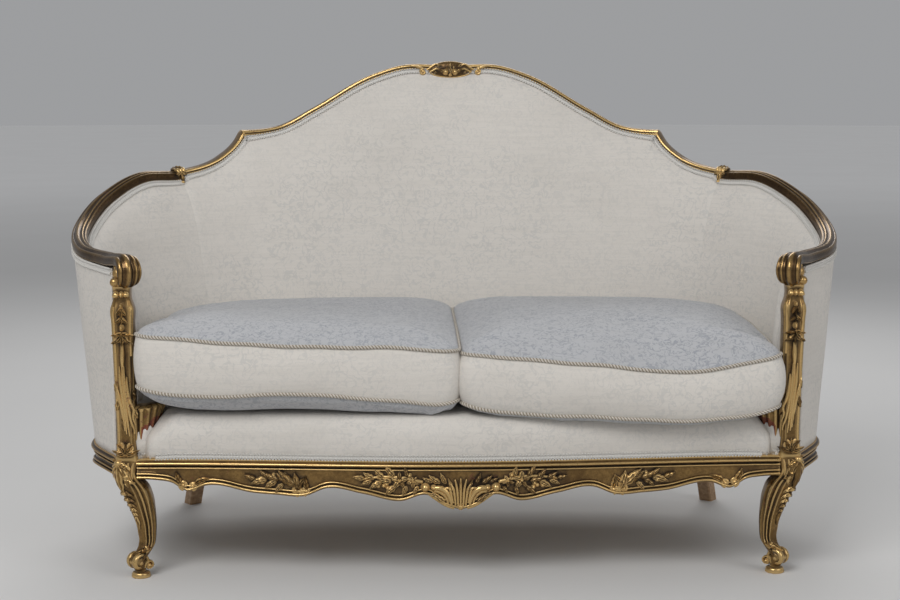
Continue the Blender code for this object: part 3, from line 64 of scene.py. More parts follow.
# Sizes of the frame in metres, as in the part
ARM_REACH = 0.755
RAIL_REACH = 0.702
SEAT_RUN = 0.596
BACK_RAKE = 0.114
ARM_HEIGHT = 0.611
CREST_HEIGHT = 0.973
SEAT_TOP = 0.235
RAIL_THICKNESS = 0.032
APRON_THICKNESS = 0.020
APRON_BOW = 0.033
APRON_DROP = 0.091
SIDE_APRON_DROP = 0.056
LEDGE_DROP = 0.035
FIELD_SINK = 0.0026
LEG_BLOCK = 0.045
LEG_KNEE_OUT = 0.014
LEG_X = 0.887 * RAIL_REACH
LEG_Y = -0.33385
APRON_REACH = LEG_X - LEG_BLOCK / 2
SEAT_MIDDLE = Vector((0.0, LEG_Y + SEAT_RUN / 2, 0.0))
ARM_WIDTH = 0.030
ARM_THICKNESS = 0.020
POST_WIDTH = 0.043
FLARE_RISE = 0.094
FLARE_REACH = 0.048
CREST_THICKNESS = 0.034
CREST_BAND = 0.011
CREST_CARVING_AHEAD = 0.0085
BOARD_DROP = 0.060
BOARD_HALF = 0.0095
CLASP_GAP = 0.0002
FIT_GAP = 0.0003

# Scroll of an arm, which turns outward between two stations
ARM_TURN_AT = 0.86
ARM_END_AT = 0.962
SCROLL_RADIUS = 0.031
SCROLL_WIDTH = 0.046
SCROLL_OUT = 0.003
SCROLL_RISE = 0.007
SCROLL_TURN = 1.42
SCROLL_STEPS = 72
SCROLL_SWING = 0.55
SCROLL_AHEAD = 0.070

# Stretched and stuffed cloth
CORE_FACE = 0.0113
BACK_PAD = 0.062
COVER = 0.003
COVER_ROWS = 24
COVER_SEAM = 0.0004
PAD_ROWS = 44
PAD_BACK_ROWS = 6
PAD_SEAM = 0.00006
PAD_FRONT = LEG_Y + LEG_BLOCK / 2 + FIT_GAP
PAD_NOSE = 0.013
SEAM_DIP = 0.0006
SEAM_SPREAD = 0.006
BRIDGE_SPREAD = 0.085
BRIDGE_REACH = 0.095
DECK_RISE = 0.099
DECK_TOP = SEAT_TOP + DECK_RISE
DECK_CROWN = 0.014
DECK_CORNER = 0.040
DECK_ROLL = 0.008
DECK_SETBACK = 0.007
DECK_STUFFING = 0.038
DECK_FLARE = 1.02
DECK_DIP = 0.047
DECK_DIP_RUN = 0.062
DECK_DIP_AT = (0.012, 0.009)
GIMP_PITCH = 0.0058
GIMP_WIDTH = 0.0120
GIMP_THICK = 0.0010
GIMP_CORD = 0.0016
GIMP_END_AT = 0.985
GIMP_DROP_INSIDE = 0.0048
GIMP_DROP_OUTSIDE = 0.0058
GIMP_LIFT_INSIDE = 0.0006
GIMP_LIFT_OUTSIDE = 0.0003
GIMP_LIFT_DECK = 0.0012

# Loose cushions
CUSHION_BAND = 0.100
CUSHION_BELLY = 0.010
CUSHION_CORNER = 0.030
CUSHION_PARTING = 0.003
CUSHION_OUTER = 0.5992
CUSHION_EASE = 0.003
CUSHION_FRONT = LEG_Y - APRON_BOW - 0.012
CUSHION_LOW = DECK_TOP + CUSHION_BELLY
CUSHION_HIGH = CUSHION_LOW + CUSHION_BAND
CUSHION_STEP = 0.010
CROWN_ROWS = 22
BAND_ROWS = 10
SEAM_FLAT_BEHIND = -0.05
SEAM_FLAT_RUN = 0.31
SEAM_HOLD = 0.012
PUFF_FRAMES = 20
PUFF_REACH = 0.006
PUFF_GRAIN = 0.0065
ROPE_RADIUS = 0.0038
ROPE_LAY = 0.012
ROPE_STEPS = 10
ROPE_PLIES = 4

# Under the seat
WEB_WIDTH = 0.055
WEB_THICK = 0.0014
WEB_STEP = 0.006
WEB_WAVE = 0.0008
WEB_INSET = RAIL_THICKNESS / 2 - 0.004
SPRING_RADIUS = 0.044
SPRING_WAIST = 0.026
SPRING_WIRE_WIDTH = 0.004
SPRING_TURNS = 3.5

# Carving: steps, and radii that lengths across are measured on
LEAF_STEPS = 14
LEAF_ACROSS = (-1.0, -0.80, -0.58, -0.36, -0.15, 0.0, 0.15, 0.36, 0.58, 0.80, 1.0)
LEAF_SINK = 0.0006
TUBE_SIDES = 8
LEG_START = 0.012
LEG_ROUND = 0.022
POST_ROUND = 0.026
CARVED_EDGE = 1.1
COLUMN_RINGS = 90
COLUMN_SIDES = 64

# Studio, its view as in the photo
SENSOR = 36.0
FOCAL_PIXELS = 1623.0
PHOTO_PIXELS = 900.0
CAMERA_PLACE = (-0.098, LEG_Y + 0.005 - 3.0, 0.92)
CAMERA_DIP = 7.4
CAMERA_TURN = -0.0265
STUDIO_TONE = (0.80, 0.81, 0.83, 1.0)

# Across, back and rise of the wall's top line, then across and back of its foot, as shares
WALL_ROWS = (
    (0.829, 0.007, 0.000, 0.887, 0.000), (0.868, 0.078, 0.000, 0.938, 0.099),
    (0.959, 0.218, 0.028, 0.994, 0.248), (1.000, 0.409, 0.113, 0.995, 0.458),
    (0.966, 0.573, 0.257, 0.953, 0.643), (0.885, 0.706, 0.362, 0.870, 0.794),
    (0.795, 0.799, 0.367, 0.782, 0.891), (0.683, 0.883, 0.445, 0.678, 0.940),
    (0.636, 0.918, 0.539, 0.640, 0.9535), (0.620, 0.930, 0.602, 0.622, 0.959),
    (0.510, 0.958, 0.630, 0.517, 0.975), (0.411, 0.973, 0.737, 0.419, 0.987),
    (0.232, 0.992, 0.945, 0.235, 0.997), (0.146, 0.997, 1.000, 0.150, 0.999),
    (0.000, 1.000, 1.000, 0.000, 1.000),
)
CLASP_ROW = 6
EAR_ROW = 9
FLARE_PLAN = ((-0.30, -0.20), (0.25, -0.10), (0.70, 0.42), (0.86, 0.90), (0.60, 1.16),
              (-0.30, 0.46))


# Smooth curves

def clamp(value, low=0.0, high=1.0):
    return min(max(value, low), high)


def eased(share):
    """A share from 0 to 1 that starts and stops gently."""
    return share * share * (3 - 2 * share)


def notch(value, at, wide):
    """Bell of a width about a value, used for grooves and ridges."""
    return exp(-((value - at) / wide) ** 2)


def slopes(points, knots, corner=None):
    """Tangents that arrive at and leave each point, broken at a corner."""
    steps = np.diff(knots)
    chords = np.diff(points, axis=0) / steps[:, None]
    middle = chords[:-1] * steps[1:, None] + chords[1:] * steps[:-1, None]
    middle /= (steps[:-1] + steps[1:])[:, None]
    tangents = np.vstack(((3 * chords[0] - middle[0]) / 2, middle,
                          (3 * chords[-1] - middle[-1]) / 2))
    arriving, leaving = tangents.copy(), tangents.copy()
    if corner is not None:
        arriving[corner] = (3 * chords[corner - 1] - tangents[corner - 1]) / 2
        leaving[corner] = (3 * chords[corner] - tangents[corner + 1]) / 2
    return arriving, leaving


def hermite(points, knots, tangents, at):
    """Point between two knots."""
    arriving, leaving = tangents
    row = clamp(bisect_right(knots, at) - 1, 0, len(knots) - 2)
    step = knots[row + 1] - knots[row]
    t = (at - knots[row]) / step
    return ((1 + 2 * t) * (1 - t) ** 2 * points[row] + t * (1 - t) ** 2 * step * leaving[row]
            + t * t * (3 - 2 * t) * points[row + 1] - t * t * (1 - t) * step * arriving[row + 1])


class Curve:
    """Smooth curve through a table whose first column is where each row lies."""

    def __init__(self, rows):
        table = np.array(rows, dtype=float)
        self.knots = list(table[:, 0])
        self.values = table[:, 1:]
        self.tangents = slopes(self.values, self.knots)

    def __call__(self, at):
        found = hermite(self.values, self.knots, self.tangents,
                        clamp(at, self.knots[0], self.knots[-1]))
        return float(found[0]) if len(found) == 1 else found


class Wall:
    """The two lines that the back and arms stand between."""

    def __init__(self):
        rows = np.array(WALL_ROWS)
        rows = np.vstack((rows, rows[-2] * (-1, 1, 1, -1, 1)))
        self.top = np.column_stack((rows[:, 0] * ARM_REACH,
                                    LEG_Y + rows[:, 1] * (SEAT_RUN + BACK_RAKE),
                                    ARM_HEIGHT + rows[:, 2] * (CREST_HEIGHT - ARM_HEIGHT)))
        self.foot = np.column_stack((rows[:, 3] * RAIL_REACH, LEG_Y + rows[:, 4] * SEAT_RUN,
                                     np.full(len(rows), SEAT_TOP)))
        chords = np.linalg.norm(np.diff(self.top, axis=0), axis=1)
        runs = np.concatenate(((0.0,), np.cumsum(chords)))
        self.length = runs[-2]
        self.knots = list(runs / runs[-2])
        self.lines = {"top": (self.top, slopes(self.top, self.knots, corner=EAR_ROW)),
                      "foot": (self.foot, slopes(self.foot, self.knots))}

    def point(self, line, station):
        """Place on the top or foot line."""
        rows, tangents = self.lines[line]
        place = Vector(hermite(rows, self.knots, tangents, 1 - abs(station)))
        place.x *= 1 if station > 0 else -1
        return place

    def run(self, line, station, side=0):
        """Direction of a line, on one side of a corner if asked."""
        nudge = 0.0005
        return (self.point(line, station + nudge * (side >= 0))
                - self.point(line, station - nudge * (side <= 0))).normalized()

    def out(self, line, station):
        """Level direction out of the seat."""
        run = self.run(line, station)
        return Vector((-run.y, run.x, 0.0)).normalized()

    def outward(self, station):
        return (self.out("top", station) + self.out("foot", station)).normalized()

    def up(self, station):
        """Direction up the wall and square to its top line, mitred at the ears."""
        if abs(1 - abs(station) - self.knots[EAR_ROW]) > 0.0003:
            return self.up_from(station, self.run("top", station))
        before = self.up_from(station, self.run("top", station, -1))
        after = self.up_from(station, self.run("top", station, 1))
        mitre = (before + after).normalized()
        return mitre / mitre.dot(before)

    def up_from(self, station, run):
        lean = self.point("top", station) - self.point("foot", station)
        return (lean - run * lean.dot(run)).normalized()

    def below_top(self, station, drop):
        return self.point("top", station) - self.up(station) * drop

    def at_rise(self, station, rise):
        """Place on the wall at a height over the seat."""
        foot, top = self.point("foot", station), self.point("top", station)
        return foot.lerp(top, rise / (top.z - foot.z))

    def stations(self, first, last, count):
        """Evenly spread stations, with the ears' mitres among them."""
        ear = 1 - self.knots[EAR_ROW]
        low, high = sorted((first, last))
        spread = set(np.linspace(first, last, count).tolist())
        spread |= {mark for mark in (-ear, ear) if low < mark < high}
        return sorted(spread, reverse=bool(first > last))


WALL = Wall()
CLASP_AT = 1 - WALL.knots[CLASP_ROW]
EAR_AT = 1 - WALL.knots[EAR_ROW]
POST_AT = 0.98671
# By share of the way along: drop of the lower edge
apron_edge = Curve((
    (0.000, 1.000), (0.050, 0.900), (0.098, 0.703), (0.188, 0.824), (0.300, 0.680),
    (0.417, 0.571), (0.483, 0.736), (0.570, 0.720), (0.640, 0.687), (0.790, 0.538),
    (0.852, 0.660), (0.900, 0.480), (0.945, 0.430), (1.000, 0.415),
))
side_edge = Curve(((0.00, 0.67), (0.20, 0.70), (0.40, 0.90), (0.50, 1.00), (0.60, 0.90),
                   (0.80, 0.72), (1.00, 0.90)))
# By share of height: shift along the knee, and half width
leg_rows = Curve((
    (0.050, -1.10, 0.34), (0.092, -0.86, 0.46), (0.145, -0.68, 0.55), (0.190, -1.20, 0.44),
    (0.234, -1.68, 0.38), (0.383, -1.93, 0.41), (0.545, -1.57, 0.52), (0.680, -1.05, 0.60),
    (0.780, -0.45, 0.59), (0.830, 0.00, 0.50), (1.000, 0.00, 0.50),
))
# By share of height: width across, and depth
post_rows = Curve(((0.00, 1.00, 1.00), (0.10, 0.84, 0.92), (0.30, 0.86, 0.86), (0.55, 0.92, 0.84),
                   (0.80, 0.98, 0.88), (0.87, 1.02, 0.88), (0.925, 0.76, 0.80), (1.00, 0.80, 0.86)))
# By share of a pad's height, and of the way to the post: stuffing
pad_swell = Curve(((0.00, 0.92), (0.12, 1.02), (0.32, 1.00), (0.60, 0.88), (0.82, 0.66),
                   (0.93, 0.38), (0.975, 0.18), (1.00, 0.08)))
pad_run = Curve(((0.00, 0.60), (0.12, 0.65), (0.32, 0.74), (0.60, 0.82), (0.85, 0.94),
                 (1.00, 1.00)))
# By share of the way up the deck's border: rise, reach inward and roll
deck_rings = Curve(((0.00, 0.00, 0.00, 0.0), (0.20, 0.12, 0.00, 0.55), (0.40, 0.34, 0.00, 0.95),
                    (0.58, 0.62, 0.01, 1.0), (0.74, 0.84, 0.06, 0.55), (0.88, 0.965, 0.22, 0.15),
                    (1.00, 1.00, 0.52, 0.0)))
# By share of the scroll: its width
SCROLL_WIDTHS = Curve(((0.00, 0.82), (0.12, 0.92), (0.27, 0.98), (0.40, 0.88), (0.568, 0.58),
                       (0.75, 0.44), (1.00, 0.36)))


def apron_line(across):
    """Bowed middle line of the front rail."""
    return Vector((across, LEG_Y - APRON_BOW * (1 + cos(pi * across / LEG_X)) / 2, 0.0))


def apron_facing(across):
    """Level direction out of the front rail."""
    along = (apron_line(across + 0.001) - apron_line(across - 0.001)).normalized()
    return Vector((along.y, -along.x, 0.0))


def apron_low(across):
    """Height of the front rail's lower edge."""
    return SEAT_TOP - apron_edge(min(abs(across) / APRON_REACH, 1.0)) * APRON_DROP


def flare_size(rise):
    """How far the leafy foot of a post reaches at a share of its height."""
    return 0.60 + 0.06 * rise + 0.36 * max(rise, 0.0) ** 2.2


def flare_edge(share):
    """Height of the cloth's edge round the flare, rising away from the post."""
    return SEAT_TOP + 0.046 + 0.030 * share


# Mesh helpers

def ring_solid(rings):
    """Closed solid through matching rings of points, its ends filled where they are open."""
    count, around = len(rings) - 1, len(rings[0])
    mesh = bmesh.new()
    bmesh.ops.create_grid(mesh, x_segments=count, y_segments=around, size=0.5)
    for vert in mesh.verts:
        u, v = vert.co.x + 0.5, vert.co.y + 0.5
        vert.co = rings[round(u * count)][round(v * around) % around]
    bmesh.ops.remove_doubles(mesh, verts=mesh.verts, dist=SAME)
    rims = [edge for edge in mesh.edges if edge.is_boundary]
    if rims:
        bmesh.ops.holes_fill(mesh, edges=rims, sides=0)
    bmesh.ops.recalc_face_normals(mesh, faces=mesh.faces)
    return mesh


def placed(name, data):
    """New object in the scene that shows the data."""
    made = bpy.data.objects.new(name, data)
    bpy.context.scene.collection.objects.link(made)
    return made


def solid(name, mesh, look, body, sharp=None):
    """Piece made of a mesh, riding on a body; a list of looks is kept in its order."""
    data = bpy.data.meshes.new(name)
    mesh.to_mesh(data)
    mesh.free()
    data.shade_smooth()
    if sharp:
        data.set_sharp_from_angle(angle=sharp)
    piece = placed(name, data)
    for item in look if isinstance(look, list) else [look]:
        data.materials.append(item)
    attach(piece, body)
    return piece


def heading(points, index, closed=False):
    """Direction of a line of points at one of them."""
    last = len(points) - 1
    after = 0 if closed and index == last else min(index + 1, last)
    before = index - 1 if closed else max(index - 1, 0)
    return (points[after] - points[before]).normalized()


def circle(centre, normal, side, radius, count):
    return [centre + (normal * cos(tau * k / count) + side * sin(tau * k / count)) * radius
            for k in range(count)]


def tube(points, radii, up):
    """Tapered tube along a line of points, turned evenly from the first one's up."""
    rings = []
    for index, (point, radius) in enumerate(zip(points, radii)):
        tangent = heading(points, index)
        up = (up - tangent * up.dot(tangent)).normalized()
        rings.append(circle(point, up, tangent.cross(up), radius, TUBE_SIDES))
    return ring_solid(rings)


def ball(radius, around, rows):
    """Sphere about the origin."""
    made = bmesh.new()
    bmesh.ops.create_uvsphere(made, u_segments=around, v_segments=rows, radius=radius)
    return made


def bevelled(mesh, edges, width):
    bmesh.ops.bevel(mesh, geom=edges, offset=width, segments=3, profile=0.5, affect="EDGES",
                    material=-1)
    return mesh


def join(target, extra):
    """Move a mesh into another one."""
    data = bpy.data.meshes.new("joined")
    extra.to_mesh(data)
    extra.free()
    target.from_mesh(data)
    bpy.data.meshes.remove(data)


class Relief:
    """Carving laid on a surface, which is given as a function of two lengths on it."""

    def __init__(self, face):
        self.face = face
        self.mesh = bmesh.new()

    def lay(self, shape, at, angle, bend=0.0):
        """Lay a flat-lying shape on the surface, turned and bent about its own start."""
        turn_c, turn_s = cos(angle), sin(angle)
        for vert in shape.verts:
            s, t, h = vert.co
            if bend:
                swing = bend * s
                s, t = (sin(swing) / bend - t * sin(swing),
                        (1 - cos(swing)) / bend + t * cos(swing))
            place, normal = self.face(at[0] + s * turn_c - t * turn_s,
                                      at[1] + s * turn_s + t * turn_c)
            vert.co = place + normal * h
        bmesh.ops.recalc_face_normals(shape, faces=shape.faces)
        join(self.mesh, shape)

    def leaf(self, at, angle, length, width, height, lobes=3, bend=0.0, curl=0.0):
        """Acanthus leaf: lobed edges, a raised vein in a ribbed blade, its tip turned up."""
        rings = []
        for step in range(LEAF_STEPS + 1):
            along = step / LEAF_STEPS
            full = sin(pi * min(0.05 + 0.95 * along ** 0.72, 0.985))
            wide = width / 2 * full ** 0.75 * (0.74 + 0.26 * abs(cos(pi * lobes * along)))
            tall = height * (0.30 + 0.70 * full ** 0.6)
            turned = curl * along * along
            ring = []
            for t in LEAF_ACROSS:
                blade = sqrt(max(0.0, 1 - t * t))
                vein = 0.30 * notch(t, 0.0, 0.13) - 0.28 * notch(abs(t), 0.36, 0.15)
                rib = 0.15 * cos(tau * (lobes * along - 0.9 * abs(t)))
                rise = tall * (0.14 + 0.86 * blade * (1 + rib + vein))
                ring.append(Vector((along * length, t * wide, rise + turned)))
            ring += [Vector((along * length, t * wide, turned * 0.5 - LEAF_SINK))
                     for t in (0.7, -0.7)]
            rings.append(ring)
        self.lay(ring_solid(rings), at, angle, bend)

    def fan(self, at, angle, blades, width, height, lobes, swing=0.0, curl=0.0):
        """Leaves from one place, each turned from an angle and as long as its row says."""
        for turn, length in blades:
            self.leaf(at, angle + turn, length, width, height, lobes, turn * swing, curl)

    def spray(self, side, base, rows, width, height, bend):
        """Leaves off a branch, mirrored for the left, each bent the way that it leans."""
        for across, rise, angle, size in rows:
            self.leaf((side * across, base + rise), angle if side > 0 else pi - angle, size,
                      size * width, height, 3, side * bend * (1 if angle > 0 else -1), 0.004)

    def bead(self, at, radius, height=None):
        shape = ball(radius, 16, 10)
        bmesh.ops.scale(shape, verts=shape.verts, vec=(1.0, 1.0, (height or radius) / radius))
        self.lay(shape, at, 0.0)

    def vine(self, points, radii, lift=0.0):
        """Stem or moulding along points on the surface."""
        path = []
        up = None
        for across, high in points:
            place, normal = self.face(across, high)
            up = up or normal
            path.append(place + normal * lift)
        join(self.mesh, tube(path, radii, up))

    def bow(self, side, knots, radii, lift, steps=24):
        """Stem through a few knots, its thickness given at each, mirrored for the left."""
        line = Curve([(index, side * across, rise, radius)
                      for index, ((across, rise), radius) in enumerate(zip(knots, radii))])
        places = [line(at) for at in np.linspace(0, len(knots) - 1, steps).tolist()]
        self.vine([(x, z) for x, z, _ in places], [radius for _, _, radius in places], lift)

    def volute(self, at, radius, turns, start, hand, thick):
        """Spiral that winds in to its eye."""
        steps = max(10, int(turns * 16))
        line, radii = [], []
        for step in range(steps + 1):
            share = step / steps
            reach = radius * (1 - 0.80 * share)
            angle = start + hand * tau * turns * share
            line.append((at[0] + reach * cos(angle), at[1] + reach * sin(angle)))
            radii.append(thick * (1 - 0.40 * share))
        self.vine(line, radii, thick * 0.4)
        self.bead(at, thick * 1.25, thick * 1.9)

    def flower(self, at, radius, turn):
        """Five petals round an eye."""
        for k in range(5):
            angle = turn + tau * k / 5
            self.leaf((at[0] + cos(angle) * radius * 0.12, at[1] + sin(angle) * radius * 0.12),
                      angle, radius, radius * 0.95, radius * 0.50, 1, curl=radius * 0.16)
        self.bead(at, radius * 0.30, radius * 0.75)

    def done(self, name, look, replaces):
        piece = solid(name, self.mesh, look, "frame")
        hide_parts(*replaces)
        return piece


# Materials

class Look:
    """A material and short ways to add nodes to it."""

    def __init__(self, name):
        self.material = bpy.data.materials.new(name)
        self.material.use_nodes = True
        self.tree = self.material.node_tree
        self.shader = self.tree.nodes["Principled BSDF"]
        self.place = self.add("ShaderNodeTexCoord").outputs["Object"]

    def add(self, kind, links=None, **settings):
        made = self.tree.nodes.new(kind)
        for key, value in settings.items():
            setattr(made, key, value)
        for key, value in (links or {}).items():
            socket = made.inputs[key]
            if isinstance(value, bpy.types.NodeSocket):
                self.tree.links.new(value, socket)
            else:
                socket.default_value = value
        return made

    def noise(self, scale, detail=3.0, rough=0.5, warp=0.0, place=None):
        return self.add("ShaderNodeTexNoise",
                        {"Vector": place or self.place, "Scale": scale, "Detail": detail,
                         "Roughness": rough, "Distortion": warp}).outputs["Fac"]

    def math(self, operation, *values):
        return self.add("ShaderNodeMath", dict(enumerate(values)),
                        operation=operation).outputs[0]

    def ramp(self, value, low, high, start=0.0, end=1.0):
        return self.add("ShaderNodeMapRange",
                        {"Value": value, "From Min": low, "From Max": high, "To Min": start,
                         "To Max": end}, interpolation_type="SMOOTHSTEP").outputs["Result"]

    def cloud(self, scale, detail, rough, low, high, start=0.0, end=1.0):
        """Noise with its contrast raised, as a share."""
        return self.ramp(self.noise(scale, detail, rough), low, high, start, end)

    def mix(self, share, first, second):
        made = self.add("ShaderNodeMix", data_type="RGBA")
        for socket, value in zip((made.inputs[0], made.inputs[6], made.inputs[7]),
                                 (share, first, second)):
            if isinstance(value, bpy.types.NodeSocket):
                self.tree.links.new(value, socket)
            else:
                socket.default_value = (*value, 1.0) if isinstance(value, tuple) else value
        return made.outputs[2]

    def put(self, name, value):
        socket = self.shader.inputs[name]
        if isinstance(value, bpy.types.NodeSocket):
            self.tree.links.new(value, socket)
        else:
            socket.default_value = value

    def bump(self, height, distance, strength=1.0, under=None):
        links = {"Height": height, "Distance": distance, "Strength": strength}
        if under is not None:
            links["Normal"] = under
        return self.add("ShaderNodeBump", links).outputs["Normal"]


def scrollwork(look, scale):
    """Thin winding lines with small leaf blots along them, as a share of 0 to 1."""
    warp, width = 1.2, 0.030
    lines = look.noise(scale, 1.0, 0.4, warp)
    off = look.math("ABSOLUTE", look.math("SUBTRACT", lines, 0.5))
    worm = look.ramp(off, width * 0.5, width * 1.6, 1.0, 0.0)
    blots = look.ramp(look.noise(scale * 2.3, 1.0, 0.5, warp * 0.7), 0.55, 0.62)
    near = look.ramp(off, width, width * 4.0, 1.0, 0.0)
    return look.math("MAXIMUM", worm, look.math("MULTIPLY", blots, near))


def weave(look, pitch):
    """Height of a plain weave seen on all three planes."""
    heights = []
    for axis in "XYZ":
        band = look.add("ShaderNodeTexWave",
                        {"Vector": look.place, "Scale": 1.0 / (pitch * 3.14), "Distortion": 0.6,
                         "Detail": 1.0}, bands_direction=axis)
        heights.append(band.outputs["Fac"])
    return look.math("MULTIPLY", look.math("ADD", heights[0], heights[1]), heights[2])


def damask(name, ground, figure, scale, contrast, shadow, patchy):
    """Worn tone-on-tone damask: a duller figure of scrolls that comes and goes on silk."""
    look = Look(name)
    pattern = scrollwork(look, scale)
    pattern = look.math("MULTIPLY", pattern, look.cloud(6.5, 2.0, 0.6, 0.40, 0.62, *patchy))
    tone = look.mix(look.math("MULTIPLY", pattern, contrast), ground, figure)
    tone = look.mix(look.cloud(2.6, 4.0, 0.55, 0.44, 0.70, 0.0, 0.30), tone, shadow)
    weft = look.add("ShaderNodeMapping", {"Vector": look.place,
                                          "Scale": (9.0, 9.0, 210.0)}).outputs[0]
    streak = look.ramp(look.noise(1.0, 3.0, 0.65, 0.0, weft), 0.38, 0.68, 0.0, 0.22)
    tone = look.mix(streak, tone, shadow)
    tone = look.mix(look.cloud(520.0, 2.0, 0.6, 0.35, 0.65, 0.0, 0.16), tone, shadow)
    look.put("Base Color", tone)
    look.put("Roughness", look.ramp(pattern, 0.0, 1.0, 0.60, 0.76))
    look.put("Sheen Weight", 0.12)
    look.put("Sheen Roughness", 0.45)
    look.put("Specular IOR Level", 0.35)
    threads = look.bump(weave(look, 0.0011), 0.0003, 0.35)
    look.put("Normal", look.bump(pattern, 0.0003, 0.45, threads))
    return look.material


def gilding(name, leaf, dull, hollow_tone_and_shade, worn, edge_highlight_colour, rough, shine=0.94):
    """Old gold leaf: worn edges lightened as painted highlights, brown toning and painted shade in
    the hollows, red ground where worn.
    """
    look = Look(name)
    cloud = look.ramp(look.noise(17.0, 5.0, 0.70, 0.3), 0.36, 0.70, 0.0, 0.85)
    tone = look.mix(cloud, leaf, dull)
    tone = look.mix(look.cloud(190.0, 3.0, 0.6, 0.40, 0.66, 0.0, 0.40), tone, dull)
    # Painted shade: hollows found by ambient occlusion turn towards a near-black brown, partly old
    # toning and partly shade
    hollow = look.add("ShaderNodeAmbientOcclusion", {"Distance": 0.016}, samples=6)
    depth = look.ramp(hollow.outputs["AO"], 0.40, 0.97, 1.0, 0.0)
    depth = look.math("MULTIPLY", depth, look.cloud(95.0, 3.0, 0.6, 0.30, 0.70, 0.80, 1.0))
    tone = look.mix(depth, tone, hollow_tone_and_shade)
    # Painted highlight: sharp outer edges found by pointiness are lightened towards a pale gold,
    # partly wear on the edges
    edges = look.add("ShaderNodeNewGeometry").outputs["Pointiness"]
    edge_highlight_share = look.ramp(edges, 0.506, 0.548, 0.0, 0.95)
    tone = look.mix(edge_highlight_share, tone, edge_highlight_colour)
    scars = look.ramp(look.noise(75.0, 5.0, 0.7, 0.6), 0.61, 0.66)
    scars = look.math("MULTIPLY", scars, look.ramp(look.noise(7.0, 2.0), 0.48, 0.60, 0.0, 0.85))
    tone = look.mix(scars, tone, worn)
    look.put("Base Color", tone)
    covered = look.math("MULTIPLY", look.math("SUBTRACT", 1.0, depth),
                        look.math("SUBTRACT", 1.0, scars))
    look.put("Metallic", look.ramp(covered, 0.0, 1.0, 0.20, shine))
    grain = look.noise(240.0, 3.0, 0.6)
    look.put("Roughness", look.math("ADD", look.math("MULTIPLY", grain, 0.16),
                                    look.ramp(depth, 0.0, 1.0, rough, rough + 0.30)))
    chips = look.bump(look.noise(420.0, 2.0), 0.0003, 0.25)
    look.put("Normal", look.bump(look.noise(70.0, 3.0, 0.6), 0.0006, 0.30, chips))
    return look.material


def timber(name, light, dark):
    look = Look(name)
    long_grain = look.add("ShaderNodeMapping", {"Vector": look.place,
                                                "Scale": (3.0, 22.0, 22.0)}).outputs[0]
    rings = look.noise(4.0, 5.0, 0.6, 1.5, long_grain)
    pores = look.ramp(look.noise(60.0, 2.0, 0.5, 0.0, long_grain), 0.60, 0.68, 0.0, 0.5)
    tone = look.mix(look.ramp(rings, 0.35, 0.65), light, dark)
    look.put("Base Color", look.mix(pores, tone, dark))
    look.put("Roughness", look.ramp(rings, 0.3, 0.7, 0.48, 0.62))
    look.put("Normal", look.bump(rings, 0.0004, 0.3))
    return look.material


def yarn(name, tone, deep):
    """Twisted cotton or silk thread."""
    look = Look(name)
    fibre = look.noise(900.0, 2.0, 0.6)
    look.put("Base Color", look.mix(look.ramp(fibre, 0.3, 0.7), tone, deep))
    look.put("Roughness", look.ramp(fibre, 0.3, 0.7, 0.7, 0.8))
    look.put("Sheen Weight", 0.2)
    look.put("Normal", look.bump(fibre, 0.0003, 0.4))
    return look.material


def coarse_cloth(name, tone, deep, pitch):
    look = Look(name)
    cloth = weave(look, pitch)
    look.put("Base Color", look.mix(look.math("MULTIPLY", cloth, 0.6), deep, tone))
    look.put("Roughness", look.ramp(cloth, 0.0, 1.0, 0.95, 0.80))
    look.put("Normal", look.bump(cloth, 0.0008, 0.6))
    return look.material


def wire(name):
    look = Look(name)
    rust = look.cloud(55.0, 4.0, 0.6, 0.50, 0.66)
    look.put("Base Color", look.mix(rust, (0.36, 0.27, 0.21), (0.22, 0.11, 0.06)))
    look.put("Metallic", look.ramp(rust, 0.0, 1.0, 0.95, 0.3))
    look.put("Roughness", look.ramp(rust, 0.0, 1.0, 0.35, 0.8))
    return look.material


IVORY = damask("ivory_damask", (0.690, 0.652, 0.600), (0.505, 0.502, 0.488), 58.0, 0.48,
               (0.530, 0.500, 0.455), (0.50, 1.0))
# Painted shade: a darker, bluer copy of the damask for the cushions' top and bottom panels, cool
# light from above and shade below
COOL_SHADED_DAMASK = damask("cool_shaded_damask", (0.480, 0.485, 0.500), (0.310, 0.325, 0.360), 74.0, 0.95,
               (0.420, 0.420, 0.420), (0.80, 1.0))
# Each gilding's colours: leaf, dull leaf, painted shade in the hollows, worn ground, painted
# highlight on the edges
GOLD = gilding("antique_gold", (0.320, 0.195, 0.070), (0.120, 0.068, 0.027),
               (0.014, 0.008, 0.005), (0.17, 0.050, 0.026), (0.66, 0.45, 0.19), 0.21)
# Painted shade: a darker copy of the gilding for gilt the light misses, on the arm rails, side
# rails and cartouche plate
SHADED_GOLD = gilding("shaded_gold", (0.115, 0.067, 0.029), (0.036, 0.021, 0.012),
                     (0.008, 0.005, 0.003), (0.10, 0.030, 0.018), (0.50, 0.32, 0.125), 0.21)
RED_GROUND = gilding("red_ground", (0.24, 0.062, 0.030), (0.15, 0.036, 0.020),
                     (0.030, 0.012, 0.008), (0.42, 0.26, 0.09), (0.36, 0.13, 0.06), 0.50, 0.35)
BEECH = timber("waxed_beech", (0.42, 0.27, 0.15), (0.27, 0.16, 0.08))
WHITE_BRAID = yarn("ivory_braid", (0.71, 0.69, 0.655), (0.57, 0.55, 0.51))
TAUPE_STRAND = yarn("taupe_strand", (0.33, 0.275, 0.205), (0.19, 0.155, 0.115))
IVORY_STRAND = yarn("ivory_strand", (0.68, 0.645, 0.58), (0.52, 0.48, 0.42))
JUTE = coarse_cloth("jute_web", (0.52, 0.41, 0.25), (0.26, 0.18, 0.10), 0.0024)
